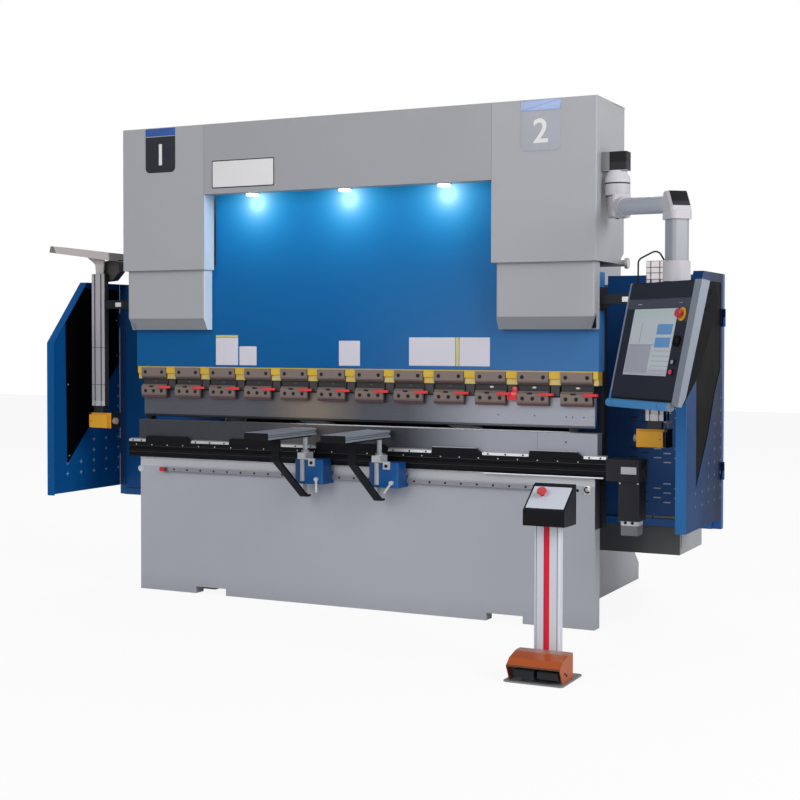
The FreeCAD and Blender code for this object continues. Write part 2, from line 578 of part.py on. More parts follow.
# Scale carriers: dark upright plates at the bed ends, behind the ram, for the ram's measuring scales.
sx0, sx1 = BED_HALF - 52, BED_HALF + 13
scale_pts = [(sx0, tb - 39), (sx0, tb - 237), (sx1, tb - 237), (sx1, az + 79), (sx1 - 23, az + 79)]
carrier = prism_y(scale_pts + [(sx1 - 23, tb + 31)], BED_BACK + 10, BED_BACK + 53)
carrier = carrier.fuse(box(sx0, sx1, BED_BACK, BED_BACK + 14, tb - 237, tb - 49))
save("scale_carriers", [carrier, mirror(carrier)])


# Sheet supports: a block on the rail with a split clip and a lever, a round column with a
# bent brace, and a slotted aluminium arm with a plate on its front end.
def support_arm(x0, x1):
    z0, z1 = ARM_TOP - ARM_H, ARM_TOP
    g = 6.0
    pts = [(x0, z0), (x0, z0 + 11), (x0 + g, z0 + 13), (x0 + g, z0 + 19), (x0, z0 + 21), (x0, z1)]
    pts += [(x0 + 37, z1), (x0 + 39, z1 - 4), (x0 + 45, z1 - 4), (x0 + 47, z1)]
    pts += [(x1 - 47, z1), (x1 - 45, z1 - 4), (x1 - 39, z1 - 4), (x1 - 37, z1)]
    pts += [(x1, z1), (x1, z0 + 21), (x1 - g, z0 + 19), (x1 - g, z0 + 13), (x1, z0 + 11), (x1, z0)]
    return prism_y(pts, ARM_BACK - ARM_LEN, ARM_BACK)


arm_low = ARM_TOP - ARM_H
sy, rz = SUPPORT_Y, RAIL_Z
for side, sx in zip(("left", "right"), SUPPORT_XS):
    block = box(sx - 38, sx + 115, sy - 35, sy + 49, rz - 27, rz + 91)
    block = block.makeChamfer(5, edges_along(block, AZ, lambda p: p.y < sy - 34))
    block = block.fuse(box(sx - 38, sx + 115, sy + 48, BED_FRONT - 6, rz - 27, rz + 30))
    block = block.cut(box(sx - 60, sx + 130, RAIL_FRONT - 0.3, 0, rz - rh - 0.3, rz + rh + 0.3))
    block = block.cut(cyl(sx, sy, rz - 130, COLUMN_R + 0.3, 400))
    save("support_block_" + side, [block])
    clip = box(sx - 22, sx + 22, sy - 37, sy + 39, rz + 91, rz + 122)
    clip = clip.fuse(flats(20, V(sx, sy, rz + 121), AZ, 19, 12))
    clip = clip.cut(cyl(sx, sy, rz + 90, COLUMN_R + 0.3, 50))
    lug = box(sx + 40, sx + 74, sy - 43, sy - 35, rz + 60, rz + 92)
    clip = clip.fuse(lug).fuse(box(sx + 20, sx + 74, sy - 43, sy - 33, rz + 91, rz + 97))
    hub = flats(8, V(sx + 84, sy - 51, rz - 2), AY, 10, 16)
    turn = 0.0 if side == "left" else 38.0
    handle = flats(8, V(sx + 84, sy - 43, rz - 64), AZ, 6, 62)
    handle.rotate(V(sx + 84, sy - 43, rz - 2), V(0, 1, 0), turn)
    save("support_clip_" + side, [clip, hub.fuse(handle)])
    ax1 = sx + 33
    ax0 = ax1 - ARM_W
    save("support_arm_" + side, [support_arm(ax0, ax1)])
    tip_y = ARM_BACK - ARM_LEN
    end = box(ax0 - 1, ax1 + 1, tip_y - 4, tip_y, arm_low - 2, ARM_TOP - 1)
    brace_pts = [(sy + 20, rz - 92), (sy + 20, rz - 82), (sy - 10, rz - 82), (sy - 267, arm_low - 103)]
    brace_pts += [(sy - 267, arm_low - 8), (sy + 26, arm_low - 8), (sy + 26, arm_low)]
    brace_pts += [(sy - 281, arm_low), (sy - 281, arm_low - 107), (sy - 16, rz - 92)]
    brace = prism_x(brace_pts, sx - 20, sx + 20)
    column = cyl(sx, sy, rz - 83, COLUMN_R, arm_low - 7 - (rz - 83))
    save("support_brace_" + side, [join([brace, column]), end])


# Outline of a guard's window: a tall kite, with its pane larger by a margin all round.
def window_points(margin):
    outline = [(-66, 0.8545, -1, 0), (-52, 0.161, -1, -2.4), (147, 0.352, 1, -1.2), (273, 0.525, 1, -1)]
    outline += [(373, 0.616, 1, -0.8), (373, 0.964, 1, 1), (38, 0.964, 0.4, 1)]
    return [(y + margin * ey, GUARD_LOW + share * GUARD_H + margin * ez) for y, share, ey, ez in outline]


# Side guards: a folded sheet door hinged at the back, with a sloping upper front edge.
def guard_door():
    pts = [(GUARD_FRONT, GUARD_LOW), (GUARD_REAR, GUARD_LOW), (GUARD_REAR, GUARD_TOP)]
    pts += [(GUARD_SLOPE_Y, GUARD_TOP), (GUARD_FRONT, GUARD_SLOPE_Z)]
    inner = [(GUARD_FRONT + 2, GUARD_LOW - 1), (GUARD_REAR + 1, GUARD_LOW - 1)]
    inner += [(GUARD_REAR + 1, GUARD_TOP - 2), (GUARD_SLOPE_Y + 1, GUARD_TOP - 2)]
    inner += [(GUARD_FRONT + 2, GUARD_SLOPE_Z - 1)]
    shape = prism_x(pts, GUARD_X - GUARD_FLANGE, GUARD_X)
    shape = shape.cut(prism_x(inner, GUARD_X - GUARD_FLANGE - 1, GUARD_X - 2))
    shape = shape.cut(prism_x(window_points(0), GUARD_X - 3, GUARD_X + 1))
    for z in HINGE_ZS:
        shape = shape.fuse(box(GUARD_X, HINGE_X, GUARD_REAR - 7, HINGE_Y, z, z + 40))
        shape = shape.fuse(flats(8, V(HINGE_X, HINGE_Y, z), AZ, 7.5, 40))
        shape = shape.cut(cyl(HINGE_X, HINGE_Y, z - 1, 3.2, 42))
    return shape


door = guard_door()
save("guard_door_right", [door])
save("guard_door_left", [mirror(door)])
pane = prism_x(window_points(11), GUARD_X - 5, GUARD_X - 2)
save("guard_window_right", [pane])
save("guard_window_left", [mirror(pane)])


# Guard backs: fixed sheet walls from the side frames out to a hinge post.
def guard_back():
    y = GUARD_REAR + 6
    back_out = GUARD_X - 40
    wall = box(BACK_IN, back_out, y, y + 2, BACK_LOW, GUARD_TOP)
    rail = box(BACK_IN, back_out, y, y + 34, BACK_LOW, BACK_LOW + 3)
    rail = rail.fuse(box(BACK_IN, back_out, y - 14, y, BACK_LOW, BACK_LOW + 34))
    lip = box(BACK_IN, BACK_IN + 2, y, y + 34, BACK_LOW, GUARD_TOP)
    post = box(back_out, GUARD_X, y, y + 40, BACK_LOW, GUARD_TOP)
    shapes = [wall, rail, lip, post]
    for z in (GUARD_LOW + 80, GUARD_TOP - 120):
        shapes.append(box(FRAME_OUT, BACK_IN + 40, y + 2, y + 30, z, z + 50))
    for z in HINGE_ZS:
        shapes.append(box(GUARD_X - 1, HINGE_X, HINGE_Y, GUARD_REAR + 16, z - 41, z - 0.5))
        shapes.append(flats(8, V(HINGE_X, HINGE_Y, z - 41), AZ, 7.5, 40.5))
        shapes.append(flats(8, V(HINGE_X, HINGE_Y, z - 1), AZ, 3, 36))
    return join(shapes)


wall = guard_back()
save("guard_backs", [wall, mirror(wall)])

# Electrical cabinet behind the right guard.
cab_out = FRAME_OUT + CABINET_W
cf, cr, cl, ct = CABINET_FRONT, CABINET_REAR, CABINET_LOW, CABINET_TOP
cabinet = panels(FRAME_OUT, cab_out - 3, cf, cr, cl, ct, 3)
cabinet_door = box(cab_out - 3 + SEAM, cab_out, cf + 25, cr - 25, cl + 30, ct - 30)
save("control_cabinet", cabinet + [cabinet_door])

# Back gauge: two guide arms behind the bed, a cross beam and two stop fingers.
arms = []
for x in (250 - FRAME_IN, FRAME_IN - 250):
    arm_pts = [(BED_BACK, tb - 129), (BED_BACK, tb + 11), (640, tb + 11), (640, tb - 49), (120, tb - 129)]
    arms.append(prism_x(arm_pts, x - 25, x + 25))
    arms.append(box(x - 60, x + 60, 430, 560, tb + 11, tb + 51))
beam_half = FRAME_IN - 50
beam = box(-beam_half, beam_half, 455, 535, tb + 51, tb + 141)
beam = beam.cut(box(-beam_half - 1, beam_half + 1, 454, 460, tb + 86, tb + 106))
gauge = [beam] + arms
gz = tb + 143
finger_pts = [(455, gz), (535, gz), (535, gz + 26), (330, gz + 46), (250, gz + 56), (250, gz + 48)]
finger_pts += [(300, gz + 36), (455, gz + 14)]
for x in (-0.442 * FRAME_IN, 0.442 * FRAME_IN):
    gauge.append(prism_x(finger_pts, x - 30, x + 30))
    gauge.append(box(x - 38, x + 38, 448, 541, gz - 3, gz + 10))
save("back_gauge", [join(gauge)])

# Pendant arm: fixed bracket and dome, then a turning elbow, tube, corner piece and drop tube.
bx, by = SWIVEL_X, SWIVEL_Y
hanger = box(HEAD_HALF, bx + 50, by - 34, by + 34, SWIVEL_Z + 56, SWIVEL_Z + 138)
hanger = hanger.makeChamfer(4, edges_along(hanger, AZ, lambda p: p.x > bx))
dome = flats(28, V(bx, by, SWIVEL_Z), AZ, 56, 24)
dome = dome.fuse(flats(28, V(bx, by, SWIVEL_Z + 24), AZ, 56, 33, 38))
save("arm_bracket", [join([hanger, dome])])
start = V(bx, by, ARM_START_Z)
elbow = V(ELBOW_X, ELBOW_Y, ELBOW_Z)
run = elbow - start
along = V(run.x, run.y, run.z).normalize()
flat = V(run.x, run.y, 0).normalize()
cross = V(-flat.y, flat.x, 0)


def casting(origin, points, half):
    face = face_of([origin + flat * a + V(0, 0, h) - cross * half for a, h in points])
    block = face.extrude(cross * (2 * half))
    rims = [e for e in block.Edges if abs(e.tangentAt(e.FirstParameter).dot(cross)) < 1e-6]
    return block.makeChamfer(8, rims)


# The swivel casting hangs from a round drum, slopes away at its back and holds the tube's collar.
drum = cyl(bx, by, ARM_START_Z + 50, 56, SWIVEL_Z - 0.5 - ARM_START_Z - 50)
back = casting(start, [(-42, 52), (-42, 16), (-10, -50), (60, -50), (60, 52)], 42)
socket = Part.makeCylinder(TUBE_R + 6, 64, start + along * 40, along)

# The elbow casting has a long chamfer over its outer corner, between a round neck for the
# arm's tube and a square one for the drop tube.
eh = ELBOW_HALF
block = casting(elbow, [(-eh, -eh), (eh, -eh), (eh, -12), (4, eh + 8), (-eh, eh + 8)], eh)
corner = Part.makeCylinder(TUBE_R + 6, 60, elbow - along * 76, along)
collar = box(-eh - 3, eh + 3, -eh - 3, eh + 3, -62, -30)
collar = collar.makeFillet(20, edges_along(collar, AZ, lambda p: True))
collar.rotate(V(0, 0, 0), AZ, DROP_TURN)
collar = collar.translated(elbow)
save("arm_castings", [join([drum, back, socket]), join([block, corner, collar])])
tube = Part.makeCylinder(TUBE_R, run.Length - 180, start + along * 104, along)
dh = DROP_HALF
drop = box(-dh, dh, -dh, dh, DROP_BOTTOM, ELBOW_Z - 62)
drop = drop.makeFillet(18, edges_along(drop, AZ, lambda p: True))
drop.rotate(V(0, 0, 0), AZ, DROP_TURN)
save("arm_tubes", [tube, drop.translated(V(ELBOW_X, ELBOW_Y, 0))])

# Control pendant: a wedge-shaped case seen square to its tilted face.
yaw = math.radians(PENDANT_YAW)
tilt = math.radians(PENDANT_TILT)
wide = V(math.cos(yaw), -math.sin(yaw), 0)
face = V(-math.sin(yaw) * math.cos(tilt), -math.cos(yaw) * math.cos(tilt), math.sin(tilt))
tall = face.cross(wide)
centre = V(PENDANT_X, PENDANT_Y, PENDANT_Z)


def at(u, v, n):
    return centre + wide * u + tall * v + face * n


def slab(u0, u1, v0, v1, n0, n1):
    base = face_of([at(u0, v0, n0), at(u1, v0, n0), at(u1, v1, n0), at(u0, v1, n0)])
    return base.extrude(face * (n1 - n0))


def side_profile(points, u0, u1):
    return face_of([at(u0, v, n) for v, n in points]).extrude(wide * (u1 - u0))


hl, hr = PENDANT_LEFT, PENDANT_RIGHT
case_pts = [(PENDANT_LOW + 14, 0), (PENDANT_HIGH, 0), (PENDANT_HIGH, -60), (PENDANT_HIGH - 70, -92)]
case_pts += [(PENDANT_LOW + 120, -60), (PENDANT_LOW + 14, -24)]
case = side_profile(case_pts, hl + 12, hr - 10)
hub = at(STOP_U, STOP_V, -40)
case = case.cut(Part.makeCylinder(8.3, 60, hub, face))
save("pendant_case", [case])
pl, ph = PENDANT_LOW, PENDANT_HIGH
rail_pts = [(pl, 6), (ph, 6), (ph, -30), (pl + 40, -22), (pl, -10)]
right_rail = side_profile(rail_pts, hr - 48, hr).cut(case)
left_rail = side_profile(rail_pts, hl, hl + 12)
ix0, ix1 = hl + 12, hr - 48
grip = Part.makeCylinder(17, ix1 - ix0 + 2, at(ix0 - 1, PENDANT_LOW - 4, 8), wide)
save("pendant_frame", [join([right_rail, left_rail, grip])])
panel = slab(ix0, ix1, PENDANT_LOW + 22, 176, 0, 4).fuse(slab(ix0, ix1, 175, PENDANT_HIGH - 4, 0, 6))
panel = panel.cut(slab(-169, 169, -135, 135, 1.5, 8))
knob = flats(24, at(206, 4, 3), face, 16, 14, 14)
keys = [slab(194, 218, v - 12, v + 12, 3, 9) for v in (-79, -119)]
ring = flats(32, at(STOP_U, STOP_V, 3), face, 27, 4)
panel = join([panel, knob, ring] + keys).cut(Part.makeCylinder(8.3, 60, hub, face))
save("pendant_panel", [panel])
save("pendant_screen", [slab(-168.7, 168.7, -134.7, 134.7, 1.5, 2.5)])
stem = flats(8, at(STOP_U, STOP_V, -30), face, 8, 50)
mushroom = flats(28, at(STOP_U, STOP_V, 17), face, 16, 4, 19)
mushroom = mushroom.fuse(flats(28, at(STOP_U, STOP_V, 21), face, 19, 9, 16))
save("pendant_stop", [stem.fuse(mushroom)])
neck_low = PENDANT_Z + 180
neck = flats(36, V(ELBOW_X, ELBOW_Y, neck_low), AZ, 54, DROP_BOTTOM - 0.5 - neck_low)
save("pendant_neck", [neck.cut(slab(-500, 500, -500, PENDANT_HIGH, -300, 300))])

# Foot control stand: base plate and square column under a sloping console.
column = box(STAND_X - COLUMN_W / 2, STAND_X + COLUMN_W / 2, STAND_Y - 20, STAND_Y + 20, 6, COLUMN_H)
column = column.makeChamfer(5, edges_along(column, AZ, lambda p: True))
plate = box(STAND_X - 120, STAND_X + 120, PEDAL_FRONT - 4, STAND_Y + 60, 0, 6)
plate = plate.makeChamfer(10, edges_along(plate, AZ, lambda p: True))
stand = [plate, column]
cx0, cx1 = CONSOLE_X - CONSOLE_W / 2, CONSOLE_X + CONSOLE_W / 2
kf, kz = CONSOLE_FRONT, COLUMN_H
console_pts = [(kf, kz + 2), (STAND_Y - 25, kz), (STAND_Y + 25, kz), (STAND_Y + 25, kz + 148)]
console_pts += [(kf + 132, kz + 154), (kf + 120, kz + 148), (kf, kz + 62)]
console = prism_x(console_pts, cx0, cx1)
slope = V(0, 120, 86).normalize()
normal = V(0, -slope.z, slope.y)
stop_base = V(STOP_X, STOP_Y, kz + 62 + (STOP_Y - kf) * 86 / 120)
console = console.cut(Part.makeCylinder(8.3, 70, stop_base - normal * 40, normal))
save("stand_console", [console])
stem = flats(8, stop_base - normal * 24, normal, 8, 44)
mushroom = flats(28, stop_base + normal * 16, normal, 17, 4, 20)
mushroom = mushroom.fuse(flats(28, stop_base + normal * 20, normal, 20, 8, 17))
save("stand_stop", [stem.fuse(mushroom)])

# Pedal hood: a bent sheet visor with side cheeks over two rocking pedals.
hx0, hx1 = STAND_X - HOOD_HALF, STAND_X + HOOD_HALF
pf, hy = PEDAL_FRONT, STAND_Y - 20.3
hood_out = [(pf - 2, 62), (pf + 34, 88), (pf + 104, 104), (hy, 104), (hy, 6), (pf + 30, 6)]
hood_in = [(pf - 5, 57), (pf + 35, 85), (pf + 104, 101), (hy + 30, 101), (hy + 30, 0), (pf - 5, 0)]
hood = prism_x(hood_out, hx0, hx1).cut(prism_x(hood_in, hx0 + 3, hx1 - 3))
save("pedal_hood", [hood])
lugs = []
for side, px in zip(("left", "right"), PEDAL_XS):
    half = PEDAL_W / 2
    pedal_pts = [(pf, 24), (pf + 74, 20), (pf + 124, 22), (pf + 124, 42), (pf + 74, 50), (pf + 6, 52)]
    pedal = prism_x(pedal_pts + [(pf, 48)], px - half, px + half)
    pedal = pedal.cut(cyl(px - 50, PEDAL_PIVOT_Y, PEDAL_PIVOT_Z, 4.1, 100, (1, 0, 0)))
    save("pedal_" + side, [pedal])
    for ex in (-1, 1):
        inner = px + ex * (half + 0.4)
        outer = px + ex * (half + 5)
        lug_y = PEDAL_PIVOT_Y - 10
        lugs.append(box(min(inner, outer), max(inner, outer), lug_y, lug_y + 22, 5, 42))
    lugs.append(cyl(px - half - 4, PEDAL_PIVOT_Y, PEDAL_PIVOT_Z, 4, PEDAL_W + 8, (1, 0, 0)))
save("stand_column", [join(stand + lugs)])
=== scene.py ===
import math
import bpy
from mathutils import Matrix, Vector


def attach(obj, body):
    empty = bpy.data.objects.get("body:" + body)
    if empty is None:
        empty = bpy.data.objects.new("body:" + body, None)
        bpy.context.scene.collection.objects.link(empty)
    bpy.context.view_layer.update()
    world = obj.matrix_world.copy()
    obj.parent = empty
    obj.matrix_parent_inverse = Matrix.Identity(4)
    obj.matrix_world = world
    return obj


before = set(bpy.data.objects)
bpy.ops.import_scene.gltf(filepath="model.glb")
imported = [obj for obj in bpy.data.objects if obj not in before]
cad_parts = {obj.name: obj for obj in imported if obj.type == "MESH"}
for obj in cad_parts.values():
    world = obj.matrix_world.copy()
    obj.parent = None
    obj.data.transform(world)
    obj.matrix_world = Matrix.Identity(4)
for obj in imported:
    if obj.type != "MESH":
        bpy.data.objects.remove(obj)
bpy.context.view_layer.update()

# Camera: it stands to the right of the middle, at chest height, with a nearly level lens, so
# the machine's right side shows and the bed's lower edge falls away to the left.
scene = bpy.context.scene
scene.view_settings.view_transform = "Standard"
lens = bpy.data.cameras.new("camera")
lens.lens = 65.45
lens.sensor_width = 36.0
lens.shift_x = 0.0143
lens.shift_y = -0.0299
camera = bpy.data.objects.new("camera", lens)
camera.location = (3.2679, -6.2356, 1.3026)
camera.rotation_euler = (math.radians(88.519), math.radians(-0.098), math.radians(26.288))
scene.collection.objects.link(camera)
scene.camera = camera


# Studio: a plain pale floor under a white background, with a broad lamp on the right, one in
# front and a weak one behind. A Finish is one material, and a Value is one of its numbers.
class Value:
    def __init__(self, finish, socket):
        self.finish = finish
        self.socket = socket

    def _with(self, operation, first, second=0.0):
        node = self.finish.node("Math", {"operation": operation}, {0: first, 1: second})
        return Value(self.finish, node.outputs[0])

    def __add__(self, other):
        return self._with("ADD", self, other)

    def __radd__(self, other):
        return self._with("ADD", other, self)

    def __sub__(self, other):
        return self._with("SUBTRACT", self, other)

    def __rsub__(self, other):
        return self._with("SUBTRACT", other, self)

    def __mul__(self, other):
        return self._with("MULTIPLY", self, other)

    def __truediv__(self, other):
        return self._with("DIVIDE", self, other)

    def __pow__(self, other):
        return self._with("POWER", self, other)

    def __gt__(self, other):
        return self._with("GREATER_THAN", self, other)

    def __lt__(self, other):
        return self._with("LESS_THAN", self, other)

    def __abs__(self):
        return self._with("ABSOLUTE", self)

    def clamped(self):
        capped = self._with("MINIMUM", self, 1.0)
        return self._with("MAXIMUM", capped, 0.0)


class Finish:
    def __init__(self, name, colour, roughness, metallic=0.0, coat=0.0):
        self.material = bpy.data.materials.new(name)
        self.material.use_nodes = True
        self.tree = self.material.node_tree
        self.shader = self.tree.nodes["Principled BSDF"]
        self.put("Base Color", (*colour, 1.0))
        self.put("Roughness", roughness)
        self.put("Metallic", metallic)
        self.put("Coat Weight", coat)
        self.place = self.node("TexCoord").outputs["Object"]
        split = self.node("SeparateXYZ", {}, {0: self.place})
        self.x, self.y, self.z = [Value(self, split.outputs[k]) for k in range(3)]

    def node(self, kind, settings=None, inputs=None):
        made = self.tree.nodes.new("ShaderNode" + kind)
        for key, setting in (settings or {}).items():
            setattr(made, key, setting)
        for key, given in (inputs or {}).items():
            self.feed(made.inputs[key], given)
        return made

    def feed(self, target, given):
        given = given.socket if isinstance(given, Value) else given
        if isinstance(given, bpy.types.NodeSocket):
            self.tree.links.new(given, target)
        else:
            target.default_value = given

    def put(self, name, given):
        self.feed(self.shader.inputs[name], given)

    def noise(self, scale, detail=2.0, stretch=(1.0, 1.0, 1.0)):
        spread = self.node("Mapping", {}, {"Vector": self.place, "Scale": stretch})
        made = self.node("TexNoise", {}, {"Vector": spread.outputs[0], "Scale": scale, "Detail": detail})
        return Value(self, made.outputs[0])

    def mix(self, mask, first, second):
        first = (*first, 1.0) if isinstance(first, tuple) and len(first) == 3 else first
        second = (*second, 1.0) if isinstance(second, tuple) and len(second) == 3 else second
        made = self.node("Mix", {"data_type": "RGBA"}, {0: mask, 6: first, 7: second})
        return made.outputs[2]

    def tint(self, mask, colour):
        self.base = self.mix(mask, self.base, colour)
        self.put("Base Color", self.base)

    def bump(self, height, strength, distance=0.001):
        made = self.node("Bump", {}, {"Height": height, "Strength": strength, "Distance": distance})
        self.put("Normal", made.outputs[0])

    def within(self, value, low, high):
        return (value > low) * (value < high)

    def ease(self, value, low, high):
        return ((value - low) / (high - low)).clamped()


bpy.ops.object.select_all(action="DESELECT")
bpy.ops.mesh.primitive_plane_add(size=40.0, location=(0.0, 0.0, -0.0005))
floor = bpy.context.active_object
floor.name = "floor"
pale = Finish("floor_pale", (0.86, 0.86, 0.87), 0.6)
seen = pale.node("LightPath").outputs["Is Camera Ray"]
glow = pale.node("Emission", {}, {"Color": (1.0, 1.0, 1.0, 1.0), "Strength": 1.0})
FLOOR_GLOW = 0.9
share = pale.node("Math", {"operation": "MULTIPLY"}, {0: seen, 1: FLOOR_GLOW})
blend = pale.node("MixShader", {}, {0: share.outputs[0], 1: pale.shader.outputs[0], 2: glow.outputs[0]})
pale.tree.links.new(blend.outputs[0], pale.tree.nodes["Material Output"].inputs[0])
floor.data.materials.append(pale.material)

world = bpy.data.worlds.new("studio")
scene.world = world
world.use_nodes = True
sky = world.node_tree.nodes["Background"]
rays = world.node_tree.nodes.new("ShaderNodeLightPath")


def sky_math(operation, *given):
    made = world.node_tree.nodes.new("ShaderNodeMath")
    made.operation = operation
    for target, value in zip(made.inputs, given):
        if isinstance(value, float):
            target.default_value = value
        else:
            world.node_tree.links.new(value, target)
    return made.outputs[0]


AMBIENT = 0.28
clear = sky_math("MAXIMUM", rays.outputs["Is Glossy Ray"], rays.outputs["Is Transmission Ray"])
either = sky_math("MAXIMUM", rays.outputs["Is Camera Ray"], clear)
level = sky_math("MULTIPLY_ADD", either, 1.0 - AMBIENT, AMBIENT)
world.node_tree.links.new(level, sky.inputs["Strength"])
sky.inputs["Color"].default_value = (1.0, 1.0, 1.0, 1.0)


def soft_lamp(name, place, aim, size, watts):
    light = bpy.data.lights.new(name, "AREA")
    light.shape = "SQUARE"
    light.size = size
    light.energy = watts
    lamp = bpy.data.objects.new(name, light)
    lamp.location = place
    lamp.rotation_euler = (Vector(aim) - Vector(place)).to_track_quat("-Z", "Y").to_euler()
    scene.collection.objects.link(lamp)


soft_lamp("lamp_right", (7.0, -2.5, 4.2), (0.5, 0.0, 1.3), 4.0, 380.0)
soft_lamp("lamp_front", (-1.5, -8.0, 4.5), (0.0, 0.0, 1.2), 5.0, 290.0)
soft_lamp("lamp_back", (-3.0, 7.0, 5.0), (0.0, 0.5, 1.2), 4.0, 190.0)


# Side frames and bed: thick flame-cut plates, welded and sprayed light grey. The bed's strip
# above the rail is paler, and a bright machined edge shows along its top.
GLOSS = 0.28
DARK_GLOSS = 0.08


def sprayed(name, colour, roughness=0.42, peel=0.05, uneven=0.05, coat=0.0, metallic=0.0):
    paint = Finish(name, colour, roughness, metallic, coat)
    cloud = paint.noise(1.7, 3.0)
    dark = tuple(c * (1.0 - uneven) for c in colour)
    light = tuple(c * (1.0 + uneven) for c in colour)
    paint.base = paint.mix(cloud, dark, light)
    paint.put("Base Color", paint.base)
    paint.put("Roughness", paint.noise(6.0, 4.0) * 0.16 + (roughness - 0.08))
    paint.bump(paint.noise(420.0, 2.0), peel)
    paint.put("Specular IOR Level", DARK_GLOSS if max(colour) < 0.03 else GLOSS)
    return paint


def dress(nodes, finish):
    for node in nodes:
        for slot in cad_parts[node].material_slots:
            slot.material = finish.material


frame_grey = sprayed("frame_grey", (0.335, 0.345, 0.375))
# Painted shade: the frames darken towards the floor.
frame_grey.tint(frame_grey.ease(frame_grey.z, 0.12, 0.0) * 0.25, (0.16, 0.16, 0.165))
dress(["side_frames"], frame_grey)
bed_grey = sprayed("bed_grey", (0.375, 0.392, 0.436))
# Painted shade: the bed's face darkens towards the right.
bed_grey.tint(bed_grey.ease(bed_grey.x, 0.2, 1.2), (0.325, 0.34, 0.378))
bed_grey.tint(bed_grey.z > 0.643, (0.47, 0.485, 0.52))
bed_grey.tint(bed_grey.z > 0.684, (0.70, 0.71, 0.74))
# Painted shade: the bed darkens towards the floor.
bed_grey.tint(bed_grey.ease(bed_grey.z, 0.10, 0.0) * 0.2, (0.17, 0.17, 0.18))
# Painted shadow: the bed's right end, from the rail to near the top edge, is near black.
bed_grey.tint((bed_grey.x > 1.231) * bed_grey.within(bed_grey.z, 0.45, 0.689), (0.03, 0.03, 0.034))
dress(["bed_plate"], bed_grey)


# Bed fittings: a lifting eye at the left and a bent hook at the right, of zinc plated bar on
# small washers, pushed into drilled holes in the bed's front face.
def turned(name, base, axis, radius, length, sides=20):
    bpy.ops.object.select_all(action="DESELECT")
    axis = Vector(axis).normalized()
    middle = (Vector(base) + axis * (length / 2)) / 1000
    turn = axis.to_track_quat("Z", "Y").to_euler()
    bpy.ops.mesh.primitive_cylinder_add(vertices=sides, radius=radius / 1000, depth=length / 1000,
                                        location=middle, rotation=turn)
    piece = bpy.context.active_object
    piece.name = name
    bpy.ops.object.transform_apply(location=True, rotation=True, scale=True)
    return piece


def slab(name, low, high):
    bpy.ops.object.select_all(action="DESELECT")
    middle = [(a + b) / 2000 for a, b in zip(low, high)]
    bpy.ops.mesh.primitive_cube_add(size=1.0, location=middle)
    piece = bpy.context.active_object
    piece.name = name
    piece.scale = [(b - a) / 1000 for a, b in zip(low, high)]
    bpy.ops.object.transform_apply(location=True, rotation=True, scale=True)
    return piece


def pick_faces(piece, test):
    bpy.ops.object.mode_set(mode="OBJECT")
    for part in (*piece.data.vertices, *piece.data.edges):
        part.select = False
    for face in piece.data.polygons:
        face.select = test(face.center * 1000, face.normal)
    bpy.ops.object.mode_set(mode="EDIT")
    bpy.ops.mesh.select_mode(type="FACE")


def sunk(piece, axis, border, depth):
    way = Vector(axis).normalized()
    pick_faces(piece, lambda c, n: n.dot(way) > 0.95)
    bpy.ops.mesh.inset(thickness=border / 1000, depth=0.0)
    bpy.ops.mesh.extrude_region_move(TRANSFORM_OT_translate={"value": way * (-depth / 1000)})
    bpy.ops.object.mode_set(mode="OBJECT")
    return piece


def rounded(piece, width):
    bpy.ops.object.mode_set(mode="OBJECT")
    bevel = piece.modifiers.new("edges", "BEVEL")
    bevel.width = width / 1000
    bevel.segments = 2
    bevel.limit_method = "ANGLE"
    bevel.angle_limit = math.radians(40)
    bpy.context.view_layer.objects.active = piece
    bpy.ops.object.modifier_apply(modifier="edges")
    return piece


def placed(piece, places):
    bpy.ops.object.mode_set(mode="OBJECT")
    row = []
    for spot in places:
        twin = piece.copy()
        twin.data = piece.data.copy()
        twin.data.transform(Matrix.Translation(Vector(spot) / 1000))
        scene.collection.objects.link(twin)
        row.append(twin)
    name = piece.name
    bpy.data.objects.remove(piece)
    bpy.ops.object.select_all(action="DESELECT")
    for twin in row:
        twin.select_set(True)
    bpy.context.view_layer.objects.active = row[0]
    bpy.ops.object.join()
    row[0].name = name
    return row[0]


def joined(name, pieces):
    bpy.ops.object.select_all(action="DESELECT")
    for piece in pieces:
        piece.select_set(True)
    bpy.context.view_layer.objects.active = pieces[0]
    bpy.ops.object.join()
    pieces[0].name = name
    return pieces[0]


def fitted(piece, finish, body):
    bpy.ops.object.mode_set(mode="OBJECT")
    bpy.ops.object.select_all(action="DESELECT")
    piece.select_set(True)
    bpy.context.view_layer.objects.active = piece
    bpy.ops.object.shade_smooth_by_angle(angle=math.radians(30))
    piece.data.materials.clear()
    piece.data.materials.append(finish.material)
    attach(piece, body)
    return piece


def screws(name, axis, radius, proud, places, sides=16):
    head = turned(name, (0, 0, 0), axis, radius, proud, sides)
    sunk(head, axis, radius * 0.35, proud * 0.7)
    return placed(head, places)


zinc = sprayed("zinc", (0.55, 0.56, 0.58), 0.3, 0.03, 0.12, metallic=0.4)
black_steel = sprayed("black_steel", (0.004, 0.004, 0.005), 0.55, 0.04, 0.3)
black_steel.put("Specular IOR Level", 0.25)
BED_FACE = -34
fitted(screws("bed_eye", (0, -1, 0), 17, 5, [(-1227, BED_FACE, 626)]), zinc, "machine")
hook_seat = rounded(slab("bed_hook", (1182, BED_FACE - 4, 606), (1212, BED_FACE, 646)), 1.5)
fitted(hook_seat, zinc, "machine")
bpy.ops.mesh.primitive_torus_add(major_radius=0.013, minor_radius=0.0035,
                                 major_segments=20, minor_segments=8,
                                 location=(1.197, -0.043, 0.628), rotation=(0.5, 1.2, 0.0))
hook = bpy.context.active_object
hook.name = "bed_hook_loop"
bpy.ops.object.transform_apply(location=True, rotation=True, scale=True)
fitted(hook, black_steel, "machine")
hole = screws("bed_hole", (0, -1, 0), 7, 0.6, [(1150, BED_FACE, 623)])
fitted(hole, black_steel, "machine")


